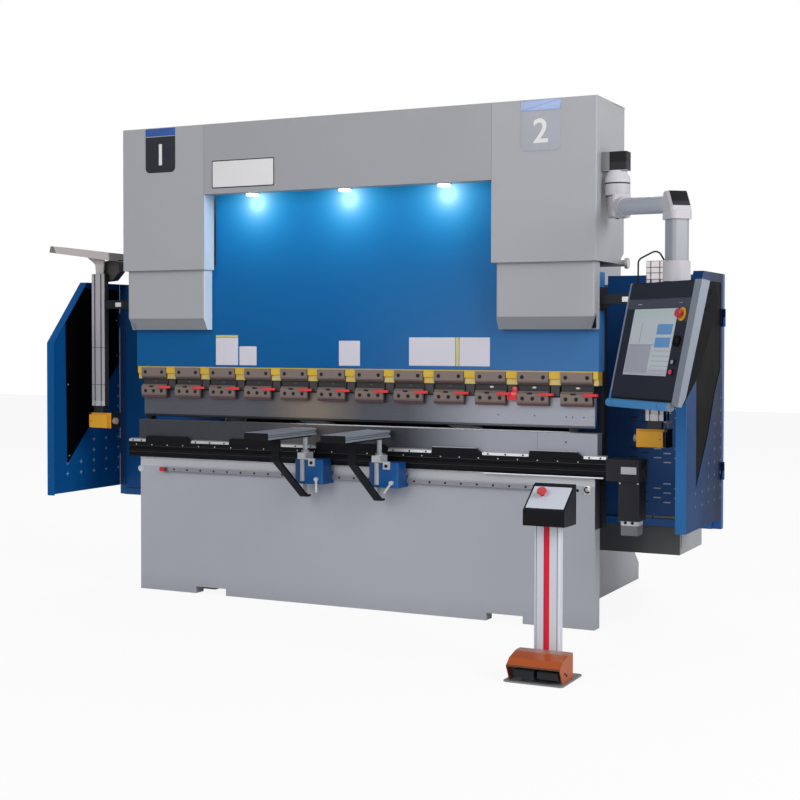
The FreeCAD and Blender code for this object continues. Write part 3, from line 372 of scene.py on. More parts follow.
# Oil tank, motor and valve block: a welded grey sheet tank with a dark blue-grey pump motor
# in cooling fins, zinc plated valves and a filler cap on the lid.
def eased(piece, test, width, segments):
    bpy.ops.object.mode_set(mode="OBJECT")
    for part in (*piece.data.vertices, *piece.data.polygons):
        part.select = False
    for edge in piece.data.edges:
        a, b = [piece.data.vertices[k].co for k in edge.vertices]
        edge.select = test((a + b) * 500, (b - a).normalized())
    bpy.ops.object.mode_set(mode="EDIT")
    bpy.ops.mesh.select_mode(type="EDGE")
    bpy.ops.mesh.bevel(offset=width / 1000, segments=segments, affect="EDGES")
    bpy.ops.object.mode_set(mode="OBJECT")
    return piece


tank_grey = sprayed("tank_grey", (0.33, 0.34, 0.37))
above_lid = tank_grey.z > 1.9915
tank_grey.tint(above_lid * (tank_grey.x < 0.0), (0.045, 0.06, 0.09))
tank_grey.tint(above_lid * (tank_grey.x > 0.15), (0.42, 0.43, 0.45))
dress(["oil_tank"], tank_grey)
motor_blue = sprayed("motor_paint", (0.045, 0.06, 0.09), 0.4, 0.1)
FIN_STEP = 15
TERMINAL_ANGLE = 45
fin = slab("motor_fins", (93, -2, 0), (108, 2, 215))
eased(fin, lambda c, d: abs(d.z) > 0.9 and c.x > 100, 1.5, 2)
fins = []
for k in range(int(360 / FIN_STEP)):
    angle = (k + 0.5) * FIN_STEP
    if angle < TERMINAL_ANGLE or angle > 360 - TERMINAL_ANGLE:
        continue
    blade = fin.copy()
    blade.data = fin.data.copy()
    blade.data.transform(Matrix.Rotation(math.radians(angle), 4, "Z"))
    blade.data.transform(Matrix.Translation((-0.15, 0.8, 2.02)))
    scene.collection.objects.link(blade)
    fins.append(blade)
bpy.data.objects.remove(fin)
fitted(joined("motor_fins", fins), motor_blue, "machine")
LID_TOP = 1990
filler = rounded(turned("filler_cap", (-520, 800, LID_TOP), (0, 0, 1), 32, 36, 24), 4)
fitted(sunk(filler, (0, 0, 1), 8, 4), black_steel, "machine")
lid_spots = [(x, y, LID_TOP) for x in (-680, -340, 0, 340, 680) for y in (612, 988)]
fitted(screws("lid_screws", (0, 0, 1), 9, 6, lid_spots, 6), zinc, "machine")
gauge_glass = rounded(slab("level_gauge", (560, 1040, 1680), (592, 1056, 1880)), 4)
sunk(gauge_glass, (0, 1, 0), 6, 2)
fitted(gauge_glass, black_steel, "machine")


# Electrical cabinet: a grey sheet box behind the right guard, with a flush door, two key
# locks and three hinges on its outer side.
def bordered(piece, test, border, depth):
    pick_faces(piece, test)
    bpy.ops.mesh.inset(thickness=border / 1000, depth=depth / 1000)
    bpy.ops.object.mode_set(mode="OBJECT")
    return piece


cabinet_grey = sprayed("cabinet_grey", (0.30, 0.31, 0.33))
# Painted shade: the cabinet's front below the rail is darkened.
cabinet_grey.tint((cabinet_grey.y < 0.46) * (cabinet_grey.z < 0.55), (0.085, 0.088, 0.09))
dress(["control_cabinet"], cabinet_grey)
CABINET_SIDE = 1490
lock = rounded(turned("cabinet_locks", (0, 0, 0), (1, 0, 0), 16, 9, 20), 2)
sunk(lock, (1, 0, 0), 5, 3)
fitted(placed(lock, [(CABINET_SIDE, 515, z) for z in (700, 1250)]), black_steel, "machine")
hinge = rounded(slab("cabinet_hinges", (0, -9, -35), (11, 9, 35)), 3)
bordered(hinge, lambda c, n: n.x > 0.9, 3, -1)
hinges = placed(hinge, [(CABINET_SIDE, 818, z) for z in (450, 930, 1400)])
fitted(hinges, black_steel, "machine")

# Head: folded grey covers and header, with fine open seams between them. On the fronts are
# plates under blue bars, dark with a 1 on the left, grey with a 2 on the right, and a bare
# white plate in the middle.
head_grey = sprayed("head_grey", (0.332, 0.338, 0.360), 0.42)
# Painted shadow: a soft dark patch on the right cover's side face around the arm's mounting block.
head_grey.tint((head_grey.x > 1.262) * head_grey.within(head_grey.y, -0.10, 0.03)
               * (1 - head_grey.ease(abs(head_grey.z - 2.055), 0.01, 0.10)) * 0.45, (0.14, 0.145, 0.15))
head_grey.tint((head_grey.y < -0.078) * (head_grey.z < 1.402), (0.23, 0.245, 0.265))
# Painted light: a pale cyan strip on the left cover's inner edge at the header seam stands for the lamps'
# light.
painted_lamp_glow = head_grey.within(head_grey.x, -0.7875, -0.765) * (head_grey.y > -0.135)
head_grey.tint(painted_lamp_glow, (0.66, 0.78, 0.86))
dress(["head_cover_left", "head_cover_right", "ram_cover_left", "ram_cover_right"], head_grey)
header_grey = sprayed("header_grey", (0.300, 0.304, 0.325), 0.42)
header_grey.tint(abs(header_grey.x) > 0.7695, (0.10, 0.10, 0.11))
dress(["header"], header_grey)


def sticker(name, x0, x1, z0, z1, y, thick, corner, finish, body, low_only=False):
    piece = slab(name, (x0, y - thick, z0), (x1, y, z1))
    eased(piece, lambda c, d: abs(d.y) > 0.9 and (c.z < (z0 + z1) / 2 or not low_only), corner, 5)
    bordered(piece, lambda c, n: n.y < -0.95, 2, 0.2)
    return fitted(piece, finish, body)


HEAD_FACE = -138
PLATE_THICK = 1.2
plate_navy = sprayed("plate_navy", (0.012, 0.014, 0.022), 0.3, 0.0, 0.2, coat=0.3)
bar_blue = sprayed("bar_blue", (0.01, 0.07, 0.30), 0.3, 0.0, 0.1, coat=0.3)
bar_pale = sprayed("bar_pale", (0.27, 0.36, 0.62), 0.3, 0.0, 0.1, coat=0.3)
plate_grey = sprayed("plate_grey", (0.25, 0.265, 0.305), 0.28, 0.0, 0.25, coat=0.3)
plate_white = sprayed("plate_white", (0.66, 0.65, 0.66), 0.35, 0.0, 0.03)
sticker("head_plate_left", -1121, -941, 2138, 2318, HEAD_FACE, PLATE_THICK, 26, plate_navy, "machine", True)
sticker("head_bar_left", -1121, -941, 2322, 2360, HEAD_FACE, PLATE_THICK, 1, bar_blue, "machine")
sticker("head_plate_right", 914, 1100, 2135, 2309, HEAD_FACE, PLATE_THICK, 28, plate_grey, "machine", True)
sticker("head_bar_right", 912, 1099, 2315, 2360, HEAD_FACE, PLATE_THICK, 1, bar_pale, "machine")
sticker("name_plate_edge", -722, -364, 2044, 2181, HEAD_FACE, 1.0, 6, plate_navy, "machine")
sticker("name_plate", -717, -369, 2049, 2176, HEAD_FACE - 1, PLATE_THICK, 4, plate_white, "machine")


def numeral(name, digit, x, z, y, size, finish, body):
    bpy.ops.object.select_all(action="DESELECT")
    bpy.ops.object.text_add(location=(x / 1000, y / 1000, z / 1000), rotation=(math.pi / 2, 0, 0))
    text = bpy.context.active_object
    text.name = name
    text.data.body = digit
    text.data.size = size / 1000
    text.data.align_x = "CENTER"
    text.data.align_y = "CENTER"
    text.data.extrude = 0.0004
    text.data.offset = 0.002
    bpy.ops.object.convert(target="MESH")
    bpy.ops.object.transform_apply(location=True, rotation=True, scale=True)
    return fitted(text, finish, body)


numeral("head_numeral_left", "1", -1030, 2222, HEAD_FACE - 1.4, 150, plate_white, "machine")
numeral("head_numeral_right", "2", 1006, 2218, HEAD_FACE - 1.4, 150, plate_white, "machine")

# Head lamps: three round work lamps under the header's fold, lit. Each has a frosted lens in a
# thin zinc plated ring.
lamp_white = Finish("lamp_white", (0.9, 0.95, 1.0), 0.3)
ripple = lamp_white.noise(60.0, 1.0)
lamp_white.put("Emission Color", lamp_white.mix(ripple, (0.75, 0.95, 1.0), (0.9, 1.0, 1.0)))
lamp_white.put("Emission Strength", 3.0)
dress(["head_lamps"], lamp_white)
ring = turned("lamp_rings", (0, 0, 0), (0, 0, -1), 36, 5, 32)
sunk(ring, (0, 0, -1), 5, 1.5)
LAMP_XS = (-516.6, 0.0, 516.6)
fitted(placed(ring, [(x, -92, 2018) for x in LAMP_XS]), zinc, "machine")

# Cylinders, rods and trunnions: painted barrels inside the head covers, hard chromed rods down
# to the ram, and ground lifting bars at both sides of the head.
barrel_grey = sprayed("barrel_grey", (0.28, 0.29, 0.32), 0.45)
dress(["cylinders"], barrel_grey)
chrome = Finish("chrome", (0.62, 0.63, 0.66), 0.14, 0.8)
turning = chrome.noise(30.0, 3.0, (1.0, 1.0, 14.0))
chrome.put("Roughness", turning * 0.12 + 0.08)
chrome.put("Base Color", chrome.mix(turning, (0.55, 0.56, 0.58), (0.68, 0.69, 0.72)))
dress(["piston_rods"], chrome)
bar_steel = sprayed("bar_steel", (0.50, 0.50, 0.51), 0.3, 0.02, 0.1, metallic=0.3)
bar_steel.tint(abs(bar_steel.x) < 1.27, (0.55, 0.56, 0.57))
dress(["lifting_trunnions"], bar_steel)

# Ram: one thick plate sprayed blue, with painted light and shade. It is paler towards the top,
# darker at the lower left and paler at the lower right, and a painted glow in its emission stands
# for the pool of cold light that the three lamps throw on its upper edge.
ram_blue = sprayed("ram_blue", (0.0, 0.088, 0.28), 0.4, 0.05, 0.06)
ram_blue.put("Specular IOR Level", 0.12)
# Painted light: paler towards the top, under the lamps.
high = ram_blue.ease(ram_blue.z, 1.2, 1.95)
ram_blue.tint(high, (0.0, 0.12, 0.37))
# Painted light and shade: paler at the lower right, darker at the lower left.
low = 1 - ram_blue.ease(ram_blue.z, 1.15, 1.75)
ram_blue.tint(low * ram_blue.ease(ram_blue.x, -0.1, 0.9), (0.045, 0.15, 0.35))
ram_blue.tint(low * ram_blue.ease(ram_blue.x, -0.1, -0.9), (0.001, 0.085, 0.25))
# Painted light: a bright core and a wide halo at each lamp, glowing on the ram's front.
POOL_HEIGHT = 1.975
CORE_SPREAD = 0.0042
HALO_SPREAD = 0.045
core = 0.0
halo = 0.0
for lamp_x in LAMP_XS:
    off_x = ram_blue.x - lamp_x / 1000
    off_z = ram_blue.z - POOL_HEIGHT
    reach = off_x * off_x + off_z * off_z
    core = core + (reach / CORE_SPREAD + 1.0) ** -2.0
    halo = halo + (reach / HALO_SPREAD + 1.0) ** -2.0
front = ram_blue.y < -0.03
pool = ram_blue.mix((halo * 0.9).clamped(), (0.0, 0.0, 0.0), (0.0, 0.38, 0.75))
pool = ram_blue.mix((core * 1.5).clamped(), pool, (0.55, 1.0, 1.0))
ram_blue.put("Emission Color", ram_blue.mix(front, (0.0, 0.0, 0.0), pool))
ram_blue.put("Emission Strength", 1.0)
dress(["ram_plate"], ram_blue)
RAM_FACE = -41
FOIL_THICK = 0.6
note_pale = sprayed("note_pale", (0.58, 0.57, 0.64), 0.4, 0.0, 0.04)
note_yellow = sprayed("note_yellow", (0.62, 0.55, 0.22), 0.4, 0.0, 0.05)
notices = (
    ("ram_note_1", -763, -632, 1168, 1304, 3, note_pale),
    ("ram_note_1_band", -763, -632, 1306, 1318, 1, note_yellow),
    ("ram_note_2", -624, -524, 1168, 1262, 3, note_pale),
    ("ram_note_3", -59, 55, 1171, 1291, 3, note_pale),
    ("ram_note_4", 316, 554, 1175, 1308, 3, note_pale),
    ("ram_note_4_band", 557, 572, 1175, 1308, 1, note_yellow),
    ("ram_note_5", 575, 727, 1175, 1308, 3, note_pale),
)
for name, x0, x1, z0, z1, corner, paint in notices:
    sticker(name, x0, x1, z0, z1, RAM_FACE, FOIL_THICK, corner, paint, "ram")

# Tool clamps: brown satin steel blocks screwed to the ram, each with two screws above and
# three below, the end of a sliding wedge in the recess and an oval key slot over the jaw.
clamp_steel = sprayed("clamp_steel", (0.175, 0.135, 0.125), 0.4, 0.03, 0.12, metallic=0.25)
# Painted shade: the recess behind each clamp's front, and all behind it, is near black.
clamp_steel.tint(clamp_steel.y > -0.030, (0.028, 0.026, 0.028))
clamp_steel.tint(clamp_steel.z < 1.010, (0.10, 0.055, 0.06))
clamp_steel.tint(clamp_steel.within(clamp_steel.z, 1.094, 1.103), (0.085, 0.055, 0.055))
dress(["tool_clamps"], clamp_steel)
CLAMP_COUNT = 12
CLAMP_PITCH = 208.0
CLAMP_FACE = -44
RECESS_FACE = -22
centres = [(k - (CLAMP_COUNT - 1) / 2) * CLAMP_PITCH for k in range(CLAMP_COUNT)]
spots = [(cx + dx, CLAMP_FACE, 1128) for cx in centres for dx in (-51, 51)]
spots += [(cx + dx, CLAMP_FACE, 1031) for cx in centres for dx in (-49, 0, 49)]
fitted(screws("clamp_screws", (0, -1, 0), 9.5, 0.8, spots, 14), black_steel, "ram")
oval = slab("clamp_slots", (-13, -0.8, -4.5), (13, 0, 4.5))
eased(oval, lambda c, d: abs(d.y) > 0.9, 4.4, 4)
sunk(oval, (0, -1, 0), 1.5, 0.4)
fitted(placed(oval, [(cx - 14, CLAMP_FACE, 1054) for cx in centres]), black_steel, "ram")
button = turned("clamp_wedges", (0, 0, 0), (0, -1, 0), 6, 1.5, 16)
bordered(button, lambda c, n: n.y < -0.9, 1.5, 0.6)
button.data.transform(Matrix.Diagonal((1.6, 1.0, 0.8, 1.0)))
wedge_end = sprayed("wedge_end", (0.05, 0.05, 0.052), 0.4)
wedge_end.tint(wedge_end.x > 0.60, (0.66, 0.65, 0.62))
fitted(placed(button, [(cx + 2, RECESS_FACE, 1081) for cx in centres]), wedge_end, "ram")

# Clamp levers: flat handles of gloss red sheet along the right half of each jaw, and one red
# stop block between the tenth and the eleventh clamp.
lever_red = sprayed("lever_red", (0.66, 0.018, 0.028), 0.3, 0.02, 0.1, coat=0.4)
dress(["clamp_levers"], lever_red)
stop_low = rounded(slab("stop_block", (812, -42, 1022), (859, -27, 1058)), 1.2)
stop_high = rounded(slab("stop_block_top", (838, -42, 1056), (859, -27, 1082)), 1.2)
stop_block = joined("stop_block", [stop_low, stop_high])
fitted(stop_block, lever_red, "ram")

# Wedge strips: yellow chromated steel between the clamps, bright above and paler below, where
# the plating is worn. The gauge blocks under them are dark, on black keepers over the punch.
wedge = sprayed("wedge_yellow", (0.56, 0.37, 0.04), 0.36, 0.03, 0.2, metallic=0.2)
worn = wedge.noise(9.0, 2.0, (1.0, 1.0, 1.0))
wedge.tint((wedge.z < 1.118) * (worn * 1.6 - 0.3).clamped(), (0.52, 0.48, 0.24))
wedge.tint(wedge.z < 1.0905, (0.045, 0.042, 0.046))
wedge.tint(wedge.within(wedge.z, 1.0905, 1.094), (0.05, 0.04, 0.02))
dress(["wedge_strips"], wedge)
keeper = slab("punch_keepers", (77.5, -20, 1037.3), (130.5, 19, 1042.7))
eased(keeper, lambda c, d: abs(d.x) > 0.9 and c.y < 0, 1, 2)
fitted(placed(keeper, [(cx, 0, 0) for cx in centres[:-1]]), black_steel, "ram")


# Punch and die: ground tool steel with a fine grain along the length. A painted reflection in its
# colour is dark at the left and in the middle, warm left of the middle and pale at the right.
def ground(name, dark, light, warm):
    steel = Finish(name, dark, 0.33, 0.35)
    grain = steel.noise(26.0, 4.0, (1.0, 1.0, 40.0))
    patch = steel.noise(1.3, 2.0)
    # Painted reflection: the steel's colour changes along its length as its shine does.
    painted_reflection = steel.ease(steel.x, 0.30, 0.72)
    steel.base = steel.mix(patch, tuple(c * 0.75 for c in dark), tuple(c * 1.35 for c in dark))
    steel.tint((1 - steel.ease(abs(steel.x + 0.22), 0.05, 0.28)) * 0.8, warm)
    steel.tint(painted_reflection, light)
    steel.tint((grain - 0.5).clamped() * 0.25, tuple(c * 1.3 for c in light))
    steel.put("Roughness", grain * 0.2 + 0.26)
    steel.bump(grain, 0.05)
    return steel


punch_steel = ground("punch_steel", (0.060, 0.064, 0.080), (0.29, 0.30, 0.35), (0.21, 0.165, 0.125))
punch_steel.tint(punch_steel.z < 0.9015, (0.02, 0.02, 0.024))
dress(["punch"], punch_steel)
die_steel = ground("die_steel", (0.022, 0.025, 0.034), (0.27, 0.28, 0.33), (0.10, 0.085, 0.08))
die_steel.tint(die_steel.within(die_steel.x, 0.9565, 0.9578), (0.05, 0.05, 0.055))
die_steel.tint(die_steel.z > 0.8795, (0.09, 0.09, 0.105))
dress(["die"], die_steel)
PUNCH_FACE = -13
DIE_FACE = -34
marks = [(759, PUNCH_FACE, 953), (936, PUNCH_FACE, 953)]
marks += [(x, PUNCH_FACE, 950) for x in (1087, 1117, 1171)]
fitted(screws("punch_marks", (0, -1, 0), 3.2, 0.4, marks, 10), black_steel, "ram")
die_mark = screws("die_mark", (0, -1, 0), 4, 0.4, [(1094, DIE_FACE, 838)], 12)
fitted(die_mark, black_steel, "machine")

# Table beam and die clamps: a black painted beam with bright ground edges, silver clamp plates with
# three screws each but two on the short end plates, and a row of small pale screws along the
# clamping groove.
TABLE_FACE = -60
table_black = sprayed("table_black", (0.005, 0.005, 0.007), 0.45, 0.05, 0.2)
table_black.tint((table_black.z > 0.7965) * (table_black.x > 0.2), (0.45, 0.46, 0.48))
groove = table_black.within(table_black.z, 0.7305, 0.7452) * (table_black.y < -0.045)
table_black.tint(groove, (0.003, 0.003, 0.004))
table_black.tint(table_black.within(table_black.z, 0.7455, 0.7475), (0.05, 0.05, 0.055))
table_black.tint(table_black.within(table_black.z, 0.7145, 0.7165), (0.045, 0.045, 0.05))
dress(["table_beam"], table_black)
clamp_plate = sprayed("plate_steel", (0.40, 0.41, 0.43), 0.32, 0.02, 0.15, metallic=0.3)
dress(["die_clamps"], clamp_plate)
spans = [(-1289, -1185), (-904, -678), (-406, -180), (213, 439), (698, 924), (1185, 1289)]
spots = []
for x0, x1 in spans:
    shares = (0.12, 0.5, 0.88) if x1 - x0 > 200 else (0.25, 0.75)
    spots += [(x0 + share * (x1 - x0), -57.4, 773.5) for share in shares]
fitted(screws("die_clamp_screws", (0, -1, 0.1), 4.2, 1.2, spots, 12), black_steel, "machine")
GROOVE_PITCH = 96
spots = [(-1240 + GROOVE_PITCH * k, TABLE_FACE + 0.1, 753.5) for k in range(26)]
fitted(screws("groove_screws", (0, -1, 0), 3.0, 0.8, spots, 10), zinc, "machine")
strip = slab("table_strip", (700, TABLE_FACE + 0.5, 682), (1276, BED_FACE, 688.4))
eased(strip, lambda c, d: abs(d.x) > 0.9 and c.y < -50, 1.2, 2)
fitted(strip, zinc, "machine")

# Crowning drive: a charcoal cast case with a bare type plate, and below its leg a silver
# flange with two notches over the grey motor.
drive_black = sprayed("drive_black", (0.024, 0.024, 0.028), 0.48, 0.12, 0.2)
drive_black.tint(drive_black.within(drive_black.z, 0.4799, 0.5003), (0.55, 0.56, 0.58))
drive_black.tint(drive_black.z < 0.4799, (0.17, 0.17, 0.18))
drive_black.tint(drive_black.x > 1.4445, (0.05, 0.05, 0.055))
dress(["crowning_drive"], drive_black)
plate_dim = sprayed("plate_dim", (0.42, 0.42, 0.44), 0.4, 0.0, 0.05)
sticker("drive_plate", 1358, 1428, 708, 740, TABLE_FACE, 0.8, 2, plate_dim, "machine")
drive_screws = screws("drive_screws", (0, -1, 0), 3.5, 1.2, [(1352, -54, 667), (1433, -54, 667)], 12)
fitted(drive_screws, zinc, "machine")
flange_bolts = screws("flange_bolts", (0, -1, 0), 7.5, 3, [(1376, -48, 493), (1408, -48, 493)], 6)
fitted(flange_bolts, black_steel, "machine")

# Support rail: ground steel bolted to the bed through twenty-five sunk holes, with a red cap on
# the stop at its left end.
rail_steel = sprayed("rail_steel", (0.235, 0.24, 0.265), 0.34, 0.02, 0.12, metallic=0.3)
rail_steel.tint((rail_steel.x < -1.05) * (rail_steel.x > -1.0885), (0.05, 0.035, 0.04))
rail_steel.tint(rail_steel.x < -1.066, (0.5, 0.02, 0.03))
rail_steel.tint(rail_steel.z > 0.6405, (0.42, 0.43, 0.45))
dress(["support_rail"], rail_steel)
RAIL_FACE = -54
BOLT_PITCH = 80
spots = [(-1010 + BOLT_PITCH * k, RAIL_FACE, 630) for k in range(25)]
fitted(screws("rail_bolts", (0, -1, 0), 5.5, 0.8, spots, 14), black_steel, "machine")

# Sheet supports: aluminium arms with a black end plate on black braces, silver columns held
# by split clips and guide sleeves on blue blocks. A black screw closes each clip.
arm_alu = sprayed("arm_aluminium", (0.30, 0.33, 0.385), 0.32, 0.02, 0.08, metallic=0.3)
side_face = arm_alu.within(arm_alu.z, 0.8372, 0.8668)
arm_alu.tint(side_face * arm_alu.within(arm_alu.z, 0.8455, 0.8475), (0.03, 0.035, 0.045))
arm_alu.tint(side_face * arm_alu.within(arm_alu.z, 0.8560, 0.8580), (0.03, 0.035, 0.045))
arm_alu.tint(arm_alu.y < -0.5192, (0.014, 0.014, 0.017))
dress(["support_arm_left", "support_arm_right"], arm_alu)
brace_black = sprayed("brace_black", (0.007, 0.0075, 0.009), 0.4, 0.06, 0.2)
SUPPORT_XS = {"left": -204, "right": 197}
for sx in SUPPORT_XS.values():
    shaft = (abs(brace_black.x - sx / 1000) < 0.0118) * (abs(brace_black.y + 0.115) < 0.0118)
    brace_black.tint(shaft * (brace_black.z > 0.556), (0.42, 0.45, 0.48))
dress(["support_brace_left", "support_brace_right"], brace_black)
clip_steel = sprayed("clip_steel", (0.56, 0.58, 0.60), 0.32, 0.02, 0.08, metallic=0.2)
clip_steel.tint(clip_steel.z > 0.755, (0.34, 0.36, 0.38))
dress(["support_clip_left", "support_clip_right"], clip_steel)
sleeve_steel = sprayed("sleeve_steel", (0.40, 0.43, 0.46), 0.3, 0.02, 0.08, metallic=0.3)
block_blue = sprayed("block_blue", (0.004, 0.055, 0.20), 0.38, 0.05, 0.08)
block_blue.tint(block_blue.within(block_blue.x, -0.186, -0.089) * 0.7, (0.005, 0.10, 0.33))
block_blue.tint(block_blue.within(block_blue.x, 0.215, 0.312) * 0.7, (0.005, 0.10, 0.33))
dress(["support_block_left", "support_block_right"], block_blue)
for side, sx in SUPPORT_XS.items():
    sleeve = turned("column_sleeve_" + side, (sx + 4, -149, 616), (0, 0, 1), 12, 105, 24)
    bordered(sleeve, lambda c, n: abs(n.z) > 0.9, 3, -2)
    fitted(sleeve, sleeve_steel, "support_" + side)
    bolt = rounded(turned("clip_screw_" + side, (sx + 57, -158, 706), (0, -1, 0), 8, 5, 16), 1)
    sunk(bolt, (0, -1, 0), 3, 3)
    fitted(bolt, black_steel, "support_" + side)

# Sensor posts: slotted aluminium bars on black arms, in three lengths with dark joints and a
# black strip along the right side. The safety sensors are yellow boxes with a dark glass lens,
# and a white bare label is on each arm.
post_alu = sprayed("post_aluminium", (0.36, 0.35, 0.375), 0.34, 0.02, 0.06, metallic=0.25)
post_alu.tint((post_alu.y > -0.0345) * (post_alu.y < -0.030), (0.07, 0.06, 0.065))
for joint_z in (1.055, 1.250):
    post_alu.tint(post_alu.within(post_alu.z, joint_z, joint_z + 0.003), (0.06, 0.06, 0.065))
post_alu.tint(post_alu.z < 0.972, (0.45, 0.45, 0.47))
post_alu.tint((post_alu.z > 1.560) * (post_alu.x > 0.0), (0.50, 0.47, 0.48))
for joint_z in (1.560, 1.588, 1.612):
    joint = post_alu.within(post_alu.z, joint_z, joint_z + 0.004) * (post_alu.x > 0.0)
    post_alu.tint(joint, (0.10, 0.08, 0.085))
for face_x in (1.5425, -1.4605):
    post_alu.tint(post_alu.within(post_alu.x, face_x, face_x + 0.002), (0.035, 0.034, 0.038))
dress(["sensor_posts"], post_alu)
arm_black = sprayed("sensor_arm_black", (0.014, 0.015, 0.019), 0.42, 0.05, 0.2)
dress(["sensor_arms"], arm_black)
ARM_FACE = -38
sticker("arm_label_right", 1352, 1388, 1466, 1488, ARM_FACE, FOIL_THICK, 2, plate_white, "ram")
sticker("arm_label_left", -1388, -1352, 1466, 1488, ARM_FACE, FOIL_THICK, 2, plate_white, "ram")
sensor = sprayed("sensor_yellow", (0.62, 0.30, 0.02), 0.36, 0.04, 0.05)
sensor.tint(sensor.y > -0.0365, (0.012, 0.012, 0.014))
sensor.tint(abs(sensor.x) > 1.5448, (0.02, 0.02, 0.024))
sensor.tint(abs(sensor.x) < 1.4188, (0.30, 0.24, 0.22))
dress(["sensor_heads"], sensor)
sensor_screws = screws("sensor_screws", (0, -1, 0), 3, 0.6, [(1532, -59, 866), (-1532, -59, 866)], 10)
fitted(sensor_screws, black_steel, "ram")
cover = rounded(slab("sensor_side_cover", (1545.5, -53, 831), (1558, -37, 897)), 1.5)
sunk(cover, (0, -1, 0), 3, 0.6)
fitted(cover, arm_black, "ram")
cable_black = sprayed("cable_black", (0.010, 0.010, 0.012), 0.5, 0.02, 0.2)
cable_black.tint(cable_black.z < 0.9445, (0.55, 0.55, 0.57))
dress(["sensor_cable"], cable_black)

# Post heads: a cast aluminium cap on the right post, and on the left post a pale tray of
# folded sheet, with painted shade darkening its underside and its left end.
cap = rounded(slab("post_cap", (1462, -37, 1640), (1541, -1, 1645)), 2)
fitted(sunk(cap, (0, 0, 1), 4, 1.5), post_alu, "ram")
tray = sprayed("tray_sheet", (0.47, 0.43, 0.43), 0.45, 0.03, 0.07)
# Painted shade: the tray's underside is near black.
tray.tint(tray.within(tray.x, -1.612, -1.39) * (tray.y > 0.0005) * (tray.z < 1.713), (0.045, 0.042, 0.044))
# Painted shade: the tray's left end is darkened.
tray.tint((tray.x + 1.748 + (tray.z - 1.76) * 0.45 < 0.0) * 0.85, (0.13, 0.11, 0.11))
dress(["post_tray"], tray)

# Scale carriers and back gauge: charcoal brackets, a ground beam and bright stop fingers. A black
# folded sheet in front of the beam is put there as painted shade behind the ram.
carrier_black = sprayed("carrier_black", (0.018, 0.02, 0.026), 0.45, 0.06, 0.15)
dress(["scale_carriers"], carrier_black)
gauge = sprayed("gauge_paint", (0.04, 0.042, 0.048), 0.42, 0.05, 0.1)
gauge.tint(gauge.within(gauge.z, 0.7397, 0.8305), (0.40, 0.41, 0.44))
gauge.tint(gauge.z > 0.8305, (0.46, 0.46, 0.47))
dress(["back_gauge"], gauge)
# Painted shade: a black sheet standing for the shade behind the ram.
screen = slab("gauge_shade_sheet", (-944, 535.3, 745), (944, 549, 906))
eased(screen, lambda c, d: abs(d.x) > 0.9 and c.z > 900, 5, 3)
bordered(screen, lambda c, n: n.y < -0.9 and c.z > 700, 12, -0.2)
fitted(screen, carrier_black, "machine")


# Side guards: folded sheet doors sprayed blue, with a kite of dark acrylic screwed behind and
# rows of small crosses punched through the lower part.
def guard_paint(name, colour, edge):
    paint = sprayed(name, colour, 0.4, 0.05, 0.08)
    paint.tint(paint.y < -0.2195, edge)
    paint.put("Specular IOR Level", 0.05)
    return paint


left_blue = guard_paint("guard_blue_left", (0.003, 0.078, 0.27), (0.004, 0.080, 0.26))
dress(["guard_door_left"], left_blue)
# Painted light and shade: the right door's outer face is a darker copy of the left door's blue and darkens
# further towards the back, and its front flange is a paler copy.
right_blue = guard_paint("guard_blue_right", (0.005, 0.036, 0.125), (0.025, 0.12, 0.31))
right_blue.tint((right_blue.y > -0.2195) * right_blue.ease(right_blue.y, -0.1, 0.36), (0.001, 0.008, 0.030))
dress(["guard_door_right"], right_blue)
acrylic = sprayed("acrylic", (0.002, 0.002, 0.0025), 0.5, 0.0, 0.2)
acrylic.put("Specular IOR Level", 0.02)
dress(["guard_window_left", "guard_window_right"], acrylic)
# The punched crosses are painted marks: pale on the left door for light showing through, dim on the right
# door where they are in shade.
cross_pale = sprayed("cross_pale", (0.27, 0.38, 0.58), 0.5, 0.0, 0.3)
cross_dim = sprayed("cross_dim", (0.06, 0.12, 0.28), 0.5, 0.0, 0.3)
DOOR_SIDE = 1689
PANE_SIDE = 1685
CROSS_PITCH = 57
window_spots = [(-55, 1430), (-12, 1497), (36, 1550), (-58, 1055), (-50, 676), (366, 1400), (366, 1205)]
rows = {-59: (0, 1), 54: (0, 1), 165: range(4), 273: range(7), 383: range(9)}
doors = (("left", -1, "guard_left", cross_pale), ("right", 1, "guard_right", cross_dim))
for side, way, body, paint in doors:
    cross = slab("guard_crosses_" + side, (-1.3, -2.0, -2.0), (1.3, 2.0, 2.0))
    for arm in ((0, 1, 0), (0, -1, 0), (0, 0, 1), (0, 0, -1)):
        toward = Vector(arm)
        pick_faces(cross, lambda c, n: n.dot(toward) > 0.9 and (c - toward * 2.0).length < 0.5)
        bpy.ops.mesh.extrude_region_move(TRANSFORM_OT_translate={"value": toward * 0.0085})
    spots = [(way * DOOR_SIDE, y, 580 + CROSS_PITCH * k) for y, ks in rows.items() for k in ks]
    fitted(placed(cross, spots), paint, body)
    spots = [(way * PANE_SIDE, y, z) for y, z in window_spots]
    fitted(screws("window_screws_" + side, (-way, 0, 0), 4, 1.2, spots, 10), zinc, body)

# Guard backs: blue sheet walls, lighter on the left as painted light, with clusters of punched vents
# painted pale where light comes through and dark where they lie in shade.
# A grey lip lies on the right rail, seals close the doors' edges, and blue infill sheets stand
# between the walls and the side frames.
back_blue = sprayed("guard_back_blue", (0.010, 0.062, 0.215), 0.42, 0.05, 0.08)
back_blue.tint(back_blue.within(back_blue.z, 0.42, 0.4645) * (back_blue.y < 0.393), (0.015, 0.09, 0.30))
